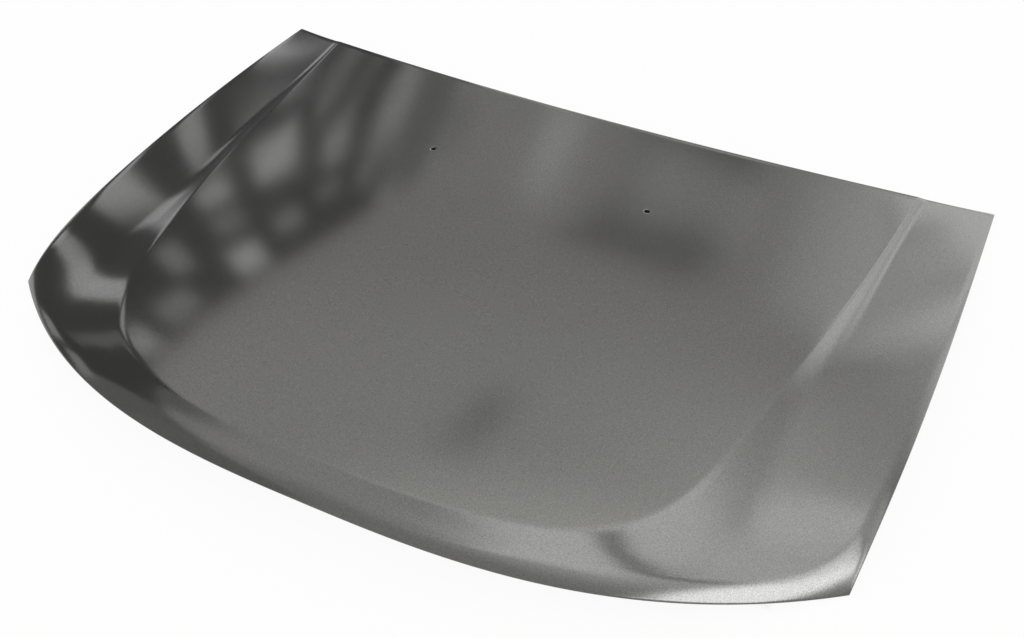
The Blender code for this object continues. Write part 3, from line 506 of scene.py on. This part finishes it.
def primer(name, colour, metallic, roughness, speckle, peel):
    """Satin primer: an even film with fine speckle, orange peel and faint clouds of gloss."""
    made, shader = principled(name, colour, roughness, metallic)
    tree = made.node_tree
    mottled(tree, shader, colour, roughness, (620.0, 1.0, 0.6, speckle), (5.0, 0.08), 0.10)
    bumped(tree, shader, noise(tree, object_place(tree), 320.0, 2.0), peel, 0.0002)
    return made


def plating(name, colour, roughness):
    """Zinc plating: slightly cloudy metal with fine crystals."""
    made, shader = principled(name, colour, roughness, 1.0)
    tree = made.node_tree
    crystals = mottled(tree, shader, colour, roughness, (900.0, 3.0, 0.5, 0.35), (60.0, 0.30), 0.25)
    bumped(tree, shader, crystals, 0.15, 0.0002)
    return made


def sealant(name, colour, roughness):
    """Matt expanded mastic, pitted and uneven."""
    made, shader = principled(name, colour, roughness)
    tree = made.node_tree
    pits = mottled(tree, shader, colour, roughness, (700.0, 4.0, 0.7, 0.8), (5.0, 0.0))
    bumped(tree, shader, pits, 0.5, 0.0004)
    return made


skin_material = primer("skin_primer", (0.166, 0.165, 0.158), 0.92, 0.13, 0.90, 0.20)
inner_material = primer("inner_primer", (0.10, 0.10, 0.097), 0.60, 0.36, 0.35, 0.30)
zinc_material = plating("zinc_plate", (0.55, 0.54, 0.50), 0.34)
mastic_material = sealant("mastic", (0.03, 0.03, 0.03), 0.75)


class RoundOutline:
    """A convex outline with round corners, in plan; depth is how far a point lies inside it."""

    def __init__(self, corners, radius):
        self.radius = radius
        self.core = []
        for k, here in enumerate(corners):
            back = (here - corners[k - 1]).normalized()
            ahead = (corners[(k + 1) % len(corners)] - here).normalized()
            left_back, left_ahead = Vector((-back.y, back.x)), Vector((-ahead.y, ahead.x))
            self.core.append(here + (left_back + left_ahead) * radius / (1 + left_back.dot(left_ahead)))
        self.low = [min(c[k] for c in corners) - CELL_WALL_RUN for k in (0, 1)]
        self.high = [max(c[k] for c in corners) + CELL_WALL_RUN for k in (0, 1)]

    def depth(self, x, y):
        if not (self.low[0] < x < self.high[0] and self.low[1] < y < self.high[1]):
            return -1.0
        place = Vector((x, y))
        least, nearest = 1.0, 1.0
        for k, here in enumerate(self.core):
            side = self.core[(k + 1) % len(self.core)] - here
            step = place - here
            least = min(least, (side.x * step.y - side.y * step.x) / side.length)
            share = min(max(step.dot(side) / side.length_squared, 0.0), 1.0)
            nearest = min(nearest, (step - side * share).length)
        return self.radius + least if least > 0 else self.radius - nearest

    def moved(self, x, y, depth):
        """The nearest place with a given depth."""
        for _ in range(3):
            here, h = self.depth(x, y), 1e-5
            uphill = Vector((self.depth(x + h, y) - here, self.depth(x, y + h) - here)) / h
            x, y = Vector((x, y)) + uphill * (depth - here)
        return x, y


def side_x(y):
    """Half of the bonnet's width at a place along the car."""
    return side_edge(y / SIDE_LENGTH).x


def rectangle(x, y, width, length):
    signs = ((-1, -1), (1, -1), (1, 1), (-1, 1))
    return [Vector((x + sx * width / 2, y + sy * length / 2)) for sx, sy in signs]


def front_beam_edge(x):
    """Where the openings end behind the front beam, which is wider at the latch."""
    edge = -FRONT_BOW * (1 - (abs(x) / FRONT_HALF_WIDTH) ** FRONT_BOW_POWER)
    return edge + FRONT_BEAM + LATCH_BEAM_EXTRA * math.exp(-(x / LATCH_BEAM_SPREAD) ** 2)


def opening_sides(k, y):
    """Inner and outer side of the opening beside rib k, at a place along the car."""
    pitch = (side_x(y) - SIDE_BEAM + RIB_WIDTH / 2) / (RIB_PAIRS + 0.5)
    return (k - 0.5) * pitch + RIB_WIDTH / 2, (k + 0.5) * pitch - RIB_WIDTH / 2


HINGE_Y = SIDE_LENGTH - HINGE_SETBACK
HINGE_X = side_x(HINGE_Y) - HINGE_INSET
LATCH_Y = -FRONT_BOW + LATCH_SETBACK


def openings():
    """The openings between the ribs: one row in front of the cross rib and one behind it."""
    cross = SIDE_LENGTH - REAR_BOW - REAR_BEAM - CROSS_RIB_SETBACK
    front_y, rear_low = cross - CROSS_RIB_WIDTH / 2, cross + CROSS_RIB_WIDTH / 2
    made = []
    for k in range(RIB_PAIRS + 1):
        low, high = opening_sides(k, front_y)
        near_low, near_high = low * RIB_CONVERGENCE, high * RIB_CONVERGENCE
        made.append(RoundOutline([Vector((near_low, front_beam_edge(near_low))),
                                  Vector((near_high, front_beam_edge(near_high))),
                                  Vector((high, front_y)), Vector((low, front_y))], CELL_RADIUS))
        low, high = opening_sides(k, rear_low)
        far_low, far_high = opening_sides(k, HINGE_Y)
        made.append(RoundOutline([Vector((low, rear_low)), Vector((high, rear_low)),
                                  Vector((far_high, rear_y(far_high) - REAR_BEAM)),
                                  Vector((far_low, rear_y(far_low) - REAR_BEAM))], CELL_RADIUS))
    return made


def mix(start, end, share):
    return start + (end - start) * share


class InnerPanel:
    """Right half of the pressed inner panel: flange in the hem, beams, ribs, openings and pads."""

    def __init__(self, skin_tree):
        self.skin_tree = skin_tree
        self.cells = openings()
        self.pads = []
        for place, size, node in (((HINGE_X, HINGE_Y), HINGE_PAD, "hinge_reinforcement_right"),
                                  ((0, LATCH_Y), LATCH_PAD, "latch_reinforcement")):
            corners = rectangle(*place, size[0] + 2 * PAD_RAMP, size[1] + 2 * PAD_RAMP)
            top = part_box(node)[0][2] - CLEARANCE
            self.pads.append((RoundOutline(corners, PAD_RADIUS + PAD_RAMP), top))
        rim = [front_edge(k / RIM_STEPS) for k in range(RIM_STEPS + 1)]
        rim += [side_edge(k / SIDE_STEPS) for k in range(1, SIDE_STEPS + 1)]
        rear = [REAR_HALF_WIDTH * (1 - k / RIM_STEPS) for k in range(1, RIM_STEPS + 1)]
        rim = [(p.x, p.y, 0) for p in rim] + [(x, rear_y(x), 0) for x in rear]
        self.rim = KDTree(len(rim))
        for k, place in enumerate(rim):
            self.rim.insert(place, k)
        self.rim.balance()

    def skin(self, x, y):
        """Underside of the skin, with the clearance, or None beside it."""
        start = Vector((max(x, 1e-4), y + SKIN_SHIFT.y, 1))
        hit, normal, _, _ = self.skin_tree.ray_cast(start, Vector((0, 0, -1)))
        return hit and hit.z - (SKIN_THICKNESS + CLEARANCE) / normal.z

    def height(self, x, y):
        """Height of the panel; just beside the skin it takes the height a little further in."""
        middle = Vector((0, SIDE_LENGTH / 2))
        inward = Vector((x, y)).lerp(middle, 0.01)
        near = self.skin(x, y) or self.skin(*inward) or self.skin(*inward.lerp(middle, 0.02))
        rise = near - SKIN_SHIFT.z
        floor = near - BEAM_DEPTH * (1 - math.exp(-BEAM_DEPTH_EASE * rise / BEAM_DEPTH))
        edge = self.rim.find((x, y, 0))[2]
        z = mix(near, floor, smooth((edge - FLANGE_WIDTH) / WALL_RUN))
        for cell in self.cells:
            z = mix(z, near - RIM_GAP, smooth(cell.depth(x, y) / CELL_WALL_RUN))
        for outline, top in self.pads:
            z = mix(z, top, smooth(outline.depth(x, y) / PAD_RAMP))
        return z

    def kept(self, x, y):
        """Whether the sheet covers a place."""
        if self.skin(x, y) is None or self.rim.find((x, y, 0))[2] < INNER_EDGE:
            return False
        return all(cell.depth(x, y) < CELL_WALL_RUN + CELL_FLANGE for cell in self.cells)

    def trimmed(self, x, y):
        """A border place moved onto the outline that it is next to."""
        deepest = max(self.cells, key=lambda cell: cell.depth(x, y))
        if deepest.depth(x, y) > 0:
            return deepest.moved(x, y, CELL_WALL_RUN + CELL_FLANGE)
        near = Vector(self.rim.find((x, y, 0))[0])
        way = (Vector((x, y, 0)) - near).normalized() * INNER_EDGE
        if self.skin(x, y) is None:
            way = -way
        return near.x + way.x, near.y + way.y

    def lined_up(self, x, y):
        """A place beside a wall, moved onto the nearest line along it, so that the wall comes out even."""
        deepest = max(self.cells, key=lambda cell: cell.depth(x, y))
        depth, step = deepest.depth(x, y), CELL_WALL_RUN / 2
        if -step / 2 < depth < 2.5 * step:
            return deepest.moved(x, y, round(depth / step) * step)
        near = Vector(self.rim.find((x, y, 0))[0])
        way = Vector((x, y, 0)) - near
        if -1.5 * step < way.length - FLANGE_WIDTH < 2.5 * step:
            way *= (FLANGE_WIDTH + round((way.length - FLANGE_WIDTH) / step) * step) / way.length
        return near.x + way.x, near.y + way.y

    def half(self):
        """A grid cut to the panel's outline and openings, laid on its heights and pierced."""
        columns, rows = (round(size / INNER_PITCH) for size in (REAR_HALF_WIDTH, SIDE_LENGTH + FRONT_BOW))
        bm = bmesh.new()
        bmesh.ops.create_grid(bm, x_segments=columns, y_segments=rows, size=0.5)
        for vert in bm.verts:
            x, y = vert.co.x + 0.5, vert.co.y + 0.5
            vert.co = (x * REAR_HALF_WIDTH, mix(-FRONT_BOW, SIDE_LENGTH, y), 0)
        outside = [f for f in bm.faces if not self.kept(*f.calc_center_median().xy)]
        bmesh.ops.delete(bm, geom=outside, context="FACES")
        for vert in bm.verts:
            if vert.is_boundary and not (vert.co.x < TINY and len(vert.link_faces) == 2):
                middle = vert.co.x < TINY
                vert.co.x, vert.co.y = self.trimmed(vert.co.x, vert.co.y)
                if middle:
                    vert.co.x = 0
        for vert in bm.verts:
            if not vert.is_boundary:
                x, vert.co.y = self.lined_up(vert.co.x, vert.co.y)
                vert.co.x = x if vert.co.x > TINY else 0
        for vert in bm.verts:
            vert.co.z = self.height(vert.co.x, vert.co.y)
        for x, y, radius in self.holes():
            round_hole(bm, x, y, radius, INNER_PITCH, 2, self.height)
        bmesh.ops.translate(bm, verts=bm.verts, vec=(0, SKIN_SHIFT.y, 0))
        bmesh.ops.recalc_face_normals(bm, faces=bm.faces)
        return bm

    def holes(self):
        """Bolt, drain and tooling holes: place and radius."""
        places = [(HINGE_X, HINGE_Y + side * HINGE_BOLT_SPACING / 2, BOLT_HOLE_RADIUS) for side in (-1, 1)]
        places.append((LATCH_BOLT_SPACING / 2, LATCH_Y, BOLT_HOLE_RADIUS))
        for y in DRAIN_HOLE_PLACES:
            places.append((side_x(y) - (FLANGE_WIDTH + WALL_RUN + SIDE_BEAM) / 2, y, DRAIN_HOLE_RADIUS))
        for x in FRONT_TOOLING_HOLES_X:
            places.append((x, front_beam_edge(x) - FRONT_TOOLING_HOLE_INSET, TOOLING_HOLE_RADIUS))
        for x in REAR_TOOLING_HOLES_X:
            places.append((x, rear_y(x) - REAR_TOOLING_HOLE_SETBACK, TOOLING_HOLE_RADIUS))
        return places


def round_hole(bm, x, y, radius, reach, cuts, height):
    """Refine the faces round a place, cut a round hole in them and lay them on the surface again."""
    centre = Vector((x, y))

    def near(distance):
        return [f for f in bm.faces if (f.calc_center_median().xy - centre).length < distance]

    edges = list(dict.fromkeys(e for f in near(radius + reach) for e in f.edges))
    bmesh.ops.subdivide_edges(bm, edges=edges, cuts=cuts, use_grid_fill=True)
    bmesh.ops.delete(bm, geom=near(radius), context="FACES")
    for vert in bm.verts:
        offset = vert.co.xy - centre
        if offset.length < radius + 2 * reach:
            if vert.is_boundary and offset.length < radius + reach / 2:
                vert.co.xy = centre + offset.normalized() * radius
            vert.co.z = height(vert.co.x, vert.co.y)


def skin_height(x, y):
    return skin_tree.ray_cast(Vector((x, y, 1)), Vector((0, 0, -1)))[0].z


skin_mesh = half_skin()
skin_tree = BVHTree.FromBMesh(skin_mesh)
fold_rim(skin_mesh)
hole_y = WASHER_HOLE_Y + SKIN_SHIFT.y
round_hole(skin_mesh, WASHER_HOLE_X, hole_y, WASHER_HOLE_RADIUS, HOLE_REACH, HOLE_CUTS, skin_height)
skin = add_piece("fine_skin", whole(skin_mesh), skin_material, ("outer_skin",), 60)
solidify(skin, SKIN_THICKNESS)

panel_mesh = whole(InnerPanel(skin_tree).half())
panel = add_piece("pressed_inner_panel", panel_mesh, inner_material, ("inner_panel",), 80)
solidify(panel, INNER_THICKNESS)

bent_rod = bmesh.new()
bent_rod.from_mesh(bpy.data.objects["striker_loop"].data)
bmesh.ops.remove_doubles(bent_rod, verts=bent_rod.verts, dist=TINY)
add_piece("bent_striker_rod", bent_rod, zinc_material, ("striker_loop",), 60)

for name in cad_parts:
    if name == "outer_skin":
        continue
    look = inner_material
    if name.startswith("mastic"):
        look = mastic_material
    elif name.startswith("striker") and "nut" not in name:
        look = zinc_material
    for place in bpy.data.objects[name].material_slots:
        place.material = look


# Studio: a pale floor, a white room, a wall of window panes on the left and a skylight on the right. Lights and dark
# spots are cards that only mirrored rays see.
CARD_CELLS, BAND_STEPS, BAND_ROWS, BAND_HOLD = 12, 6, 8, 1.3


def card(bm, corners, level, soft=0.0):
    """A flat card with the given corners and level of light; soft is the share of it that fades at each edge."""
    glow = bm.verts.layers.float.get("level") or bm.verts.layers.float.new("level")
    cover = bm.verts.layers.float.get("cover") or bm.verts.layers.float.new("cover")
    cells = CARD_CELLS if soft else 1
    for vert in bmesh.ops.create_grid(bm, x_segments=cells, y_segments=cells, size=0.5)["verts"]:
        right, back = vert.co.x + 0.5, vert.co.y + 0.5
        near = Vector(corners[0]).lerp(corners[1], right)
        vert.co = near.lerp(Vector(corners[3]).lerp(corners[2], right), back)
        vert[glow] = level
        edge = min(right, 1 - right, back, 1 - back)
        vert[cover] = smooth(edge / soft) if soft else 1.0


def upright(bm, x, start, end, foot, head, level, soft=0.0):
    """A card on the left wall."""
    card(bm, ((x, start, foot), (x, end, foot), (x, end, head), (x, start, head)), level, soft)


def band(bm, points, z, width, level):
    """A soft strip along a smooth curve through points in plan."""
    glow, cover = bm.verts.layers.float["level"], bm.verts.layers.float["cover"]
    spans = len(points) - 1
    for vert in bmesh.ops.create_grid(bm, x_segments=BAND_STEPS * spans, y_segments=BAND_ROWS, size=0.5)["verts"]:
        along_it, across = (vert.co.x + 0.5) * spans, vert.co.y * 2
        k = min(int(along_it), spans - 1)
        start, end = Vector(points[k]), Vector(points[k + 1])
        before, after = Vector(points[max(k - 1, 0)]), Vector(points[min(k + 2, spans)])
        t = along_it - k
        lean, next_lean = (end - before) / 2, (after - start) / 2
        middle = start * (2 * t ** 3 - 3 * t * t + 1) + end * (3 * t * t - 2 * t ** 3)
        middle += lean * (t ** 3 - 2 * t * t + t) + next_lean * (t ** 3 - t * t)
        way = lean.lerp(next_lean, t).normalized()
        offset = Vector((-way.y, way.x)) * across * width / 2
        vert.co = (middle.x + offset.x, middle.y + offset.y, z)
        vert[glow] = level
        vert[cover] = smooth(BAND_HOLD * (1 - abs(across))) * smooth(min(along_it, spans - along_it))


WALL_X, WALL_HEIGHT, PANE_GAP, PANE_SOFTNESS = -2.0, 1.88, 0.02, 0.2
# Bays of the left wall: rear and front end, level
LEFT_WALL_BAYS = ((-4.5, -1.6, 0.45), (-1.6, -0.95, 0.40), (-0.95, 2.60, 0.13), (2.60, 3.7, 0.36))
# Panes of the window wall: rear and front end, foot and head, level
WALL_PANES = (
    (0.08, 0.32, 0.25, 0.92, 1.25), (-0.12, 0.36, 0.97, 1.38, 1.1), (0.14, 0.38, 1.48, 1.80, 1.2),
    (-0.36, -0.18, 0.60, 1.50, 0.45), (0.64, 0.95, 0.20, 0.92, 1.15), (0.46, 0.82, 1.48, 1.76, 0.8),
    (0.76, 0.96, 1.12, 1.44, 0.8), (1.13, 1.44, 1.46, 1.78, 1.5), (1.16, 1.42, 1.15, 1.33, 0.7),
    (1.16, 1.42, 0.87, 1.07, 1.3), (1.18, 1.40, 0.45, 0.82, 0.95), (1.74, 1.96, 0.30, 0.66, 1.3),
    (1.54, 1.90, 0.80, 1.13, 1.3), (1.56, 1.84, 1.40, 1.60, 0.85), (1.97, 2.15, 0.74, 0.93, 0.6),
    (1.94, 2.20, 1.36, 1.52, 0.6), (2.04, 2.26, 1.03, 1.26, 1.2), (2.30, 2.52, 1.40, 1.60, 0.65),
    (2.40, 2.76, 1.12, 1.44, 0.9), (2.44, 2.74, 1.70, 1.86, 0.75), (3.0, 3.3, 1.74, 1.88, 0.8),
    (-1.05, -0.65, 0.22, 0.55, 0.8), (-0.60, -0.30, 0.05, 0.35, 0.85))
CEILING_HEIGHT, LAYER_GAP = 2.15, 0.01
# Lights and dark spots of the ceiling: corners in plan, level and softness
CEILING_CARDS = (
    (((-0.4, -2.2), (1.5, -1.8), (1.4, -0.1), (-0.1, -0.2)), 2.1, 0.35),
    (((0.45, -0.9), (1.72, -0.9), (1.62, 1.20), (0.75, 1.20)), 2.05, 0.28),
    (((1.55, 0.50), (2.5, -4.8), (5.2, -3.4), (2.7, 0.30)), 4.7, 0.18),
    (((2.4, 0.7), (3.0, -0.8), (6.5, -1.5), (6.5, 1.4)), 3.0, 0.30),
    (((1.85, 0.5), (6.0, 0.3), (6.5, 2.9), (2.0, 1.7)), 1.45, 0.25),
    (((-0.60, 0.10), (-0.30, 0.10), (-0.24, 1.20), (-0.54, 1.20)), 0.62, 0.45),
    (((-1.1, 2.75), (0.25, 2.65), (0.30, 3.37), (-1.0, 3.40)), 0.30, 0.30),
    (((-3.4, -2.4), (-1.75, -2.2), (-1.80, -1.0), (-3.4, -0.9)), 0.45, 0.28))
# The beam across the skylight
SKYLIGHT_BEAM = ((0.50, -0.10), (0.92, -0.62), (1.20, -0.70), (1.50, -0.44), (1.62, 0.00))
BEAM_HEIGHT, BEAM_WIDTH, BEAM_LEVEL = 2.07, 0.46, 0.75
BACK_WALL_Y = 5.0
# Lights and dark spots of the back wall: corners as x and height, level and softness
BACK_CARDS = (
    (((0.2, 2.0), (4.5, 2.0), (4.2, 3.75), (0.25, 3.70)), 1.28, 0.15),
    (((1.18, 1.5), (2.1, 1.5), (1.9, 3.70), (1.00, 3.85)), 2.05, 0.14),
    (((1.4, 1.0), (5.2, 1.0), (5.6, 4.60), (1.5, 4.60)), 2.05, 0.34),
    (((1.28, 2.55), (1.56, 2.55), (1.18, 3.45), (0.98, 3.45)), 0.75, 0.30),
    (((-2.2, 2.3), (-1.7, 2.3), (-1.7, 3.3), (-2.2, 3.3)), 1.25, 0.35),
    (((-1.3, 2.3), (0.2, 2.3), (0.2, 3.4), (-1.2, 3.4)), 1.10, 0.25))

cards = bmesh.new()
for start, end, level in LEFT_WALL_BAYS:
    upright(cards, WALL_X, start, end, 0.0, WALL_HEIGHT, level)
for start, end, foot, head, level in WALL_PANES:
    upright(cards, WALL_X + PANE_GAP, start, end, foot, head, level, PANE_SOFTNESS)
for layer, (outline, level, soft) in enumerate(CEILING_CARDS):
    card(cards, [(x, y, CEILING_HEIGHT - LAYER_GAP * layer) for x, y in outline], level, soft)
band(cards, SKYLIGHT_BEAM, BEAM_HEIGHT, BEAM_WIDTH, BEAM_LEVEL)
for layer, (outline, level, soft) in enumerate(BACK_CARDS):
    card(cards, [(x, BACK_WALL_Y - LAYER_GAP * layer, z) for x, z in outline], level, soft)


def bare_material(name):
    """A material with an empty tree; it returns the material, the tree and the output's surface."""
    made = bpy.data.materials.new(name)
    made.use_nodes = True
    made.node_tree.nodes.clear()
    output = made.node_tree.nodes.new("ShaderNodeOutputMaterial")
    return made, made.node_tree, output.inputs["Surface"]


def blended(tree, share, first, second):
    """Two shaders mixed by a share."""
    return add_node(tree, "ShaderNodeMixShader", (share, first.outputs[0], second.outputs[0]))


CARD_TINT = (0.985, 1.0, 1.02, 1)
card_material, tree, surface = bare_material("lit_card")
card_level, card_cover = (add_node(tree, "ShaderNodeAttribute", attribute_name=name).outputs["Fac"]
                          for name in ("level", "cover"))
card_clear = add_node(tree, "ShaderNodeBsdfTransparent")
card_glow = add_node(tree, "ShaderNodeEmission", (CARD_TINT, card_level))
tree.links.new(blended(tree, card_cover, card_clear, card_glow).outputs[0], surface)
lit_cards = linked("lit_cards", cards, card_material)
lit_cards.visible_camera = False
lit_cards.visible_diffuse = False
lit_cards.visible_shadow = False

# The floor is white to the camera and to mirrored rays, has a painted shadow under the bonnet (a dark floor colour in
# the bonnet's plan, seen by all rays), and is clear from below
FLOOR_SIZE, FLOOR_DROP, FLOOR_WHITE = 20, 0.0005, 0.94
# Colour level of the painted shadow under the bonnet and the rise to the plain floor colour beside it; then the soft
# edges of the painted shadow, across and along
FLOOR_PAINTED_SHADOW, FLOOR_RISE = 0.08, 0.72
PAINTED_SHADOW_HALF_WIDTH, PAINTED_SHADOW_HALF_LENGTH = (0.56, 0.62), (0.34, 0.40)
floor_material, tree, surface = bare_material("floor")
pale = add_node(tree, "ShaderNodeBsdfDiffuse")
lit = add_node(tree, "ShaderNodeEmission", ((1, 1, 1, 1), 1.0))
sight = add_node(tree, "ShaderNodeLightPath")
place = add_node(tree, "ShaderNodeSeparateXYZ", (object_place(tree),))
across = ease(tree, calc(tree, "ABSOLUTE", place.outputs[0]), *PAINTED_SHADOW_HALF_WIDTH)
length = ease(tree, calc(tree, "ABSOLUTE", place.outputs[1]), *PAINTED_SHADOW_HALF_LENGTH)
beside = calc(tree, "MAXIMUM", across, length)
seen = calc(tree, "MULTIPLY", sight.outputs["Is Camera Ray"], beside)
seen = calc(tree, "MAXIMUM", seen, sight.outputs["Is Glossy Ray"])
seen = calc(tree, "MAXIMUM", seen, sight.outputs["Is Transmission Ray"])
# Painted shadow: the floor's colour is dark in the bonnet's plan and pale beside it
tree.links.new(calc(tree, "MULTIPLY_ADD", beside, FLOOR_RISE, FLOOR_PAINTED_SHADOW), pale.inputs["Color"])
from_above = blended(tree, calc(tree, "MULTIPLY", seen, FLOOR_WHITE), pale, lit)
clear = add_node(tree, "ShaderNodeBsdfTransparent")
under = add_node(tree, "ShaderNodeNewGeometry").outputs["Backfacing"]
tree.links.new(blended(tree, under, from_above, clear).outputs[0], surface)
floor_mesh = bmesh.new()
bmesh.ops.create_grid(floor_mesh, x_segments=1, y_segments=1, size=FLOOR_SIZE)
bmesh.ops.translate(floor_mesh, verts=floor_mesh.verts, vec=(0, 0, -FLOOR_DROP))
linked("floor", floor_mesh, floor_material)

# The room is white, but mirrored rays find a ceiling: darker overhead, lighter to the right and low at the back.
# Each range is two ends of a direction's part, and the levels at these ends.
OVERHEAD, ZENITH = (0.5, 0.85, 0.72, 0.98), (0.88, 1.0, 0.0, 0.5)
TO_THE_RIGHT, RIGHT_RISE = (-0.25, 0.25), (0.55, 0.9, 0.0, 0.45)
TO_THE_BACK, HORIZON_RISE = (0.1, 0.5), (0.40, 0.15, 0.0, 2.2)
ABOVE_FLOOR = (0.02, 0.12)
world = bpy.data.worlds.new("white_room")
bpy.context.scene.world = world
world.use_nodes = True
tree = world.node_tree
tree.nodes.clear()
world_output = tree.nodes.new("ShaderNodeOutputWorld")
looking = add_node(tree, "ShaderNodeTexCoord").outputs["Generated"]
side, back, up = add_node(tree, "ShaderNodeSeparateXYZ", (looking,)).outputs
overhead = calc(tree, "ADD", ease(tree, up, *OVERHEAD), ease(tree, up, *ZENITH))
lighter = calc(tree, "MULTIPLY", ease(tree, side, *TO_THE_RIGHT), ease(tree, up, *RIGHT_RISE))
horizon = calc(tree, "MULTIPLY", ease(tree, back, *TO_THE_BACK), ease(tree, up, *HORIZON_RISE))
ceiling = calc(tree, "ADD", calc(tree, "ADD", overhead, lighter), horizon)
mirrored = add_node(tree, "ShaderNodeLightPath").outputs["Is Glossy Ray"]
level = add_node(tree, "ShaderNodeMix", data_type="FLOAT")
tree.links.new(calc(tree, "MULTIPLY", mirrored, ease(tree, up, *ABOVE_FLOOR)), level.inputs["Factor"])
level.inputs["A"].default_value = 1.0
tree.links.new(ceiling, level.inputs["B"])
room = add_node(tree, "ShaderNodeBackground", ((1, 1, 1, 1), level.outputs["Result"]))
tree.links.new(room.outputs[0], world_output.inputs["Surface"])

camera_data = bpy.data.cameras.new("photo_camera")
camera_data.sensor_width = SENSOR_WIDTH
camera_data.lens = FOCAL_PIXELS * SENSOR_WIDTH / PHOTO_WIDTH
camera_data.clip_start = CLIP_START
camera = bpy.data.objects.new("photo_camera", camera_data)
bpy.context.scene.collection.objects.link(camera)
turn, tilt, roll = (math.radians(a) for a in (CAMERA_TURN, CAMERA_TILT, CAMERA_ROLL))
forward = Vector((-math.sin(turn) * math.cos(tilt), math.cos(turn) * math.cos(tilt), -math.sin(tilt)))
level = Vector((math.cos(turn), math.sin(turn), 0))
upward = level.cross(forward)
right = level * math.cos(roll) + upward * math.sin(roll)
above = upward * math.cos(roll) - level * math.sin(roll)
camera.matrix_world = Matrix.Translation(CAMERA_PLACE) @ Matrix((right, above, -forward)).transposed().to_4x4()
bpy.context.scene.camera = camera
bpy.context.scene.view_settings.view_transform = "Standard"
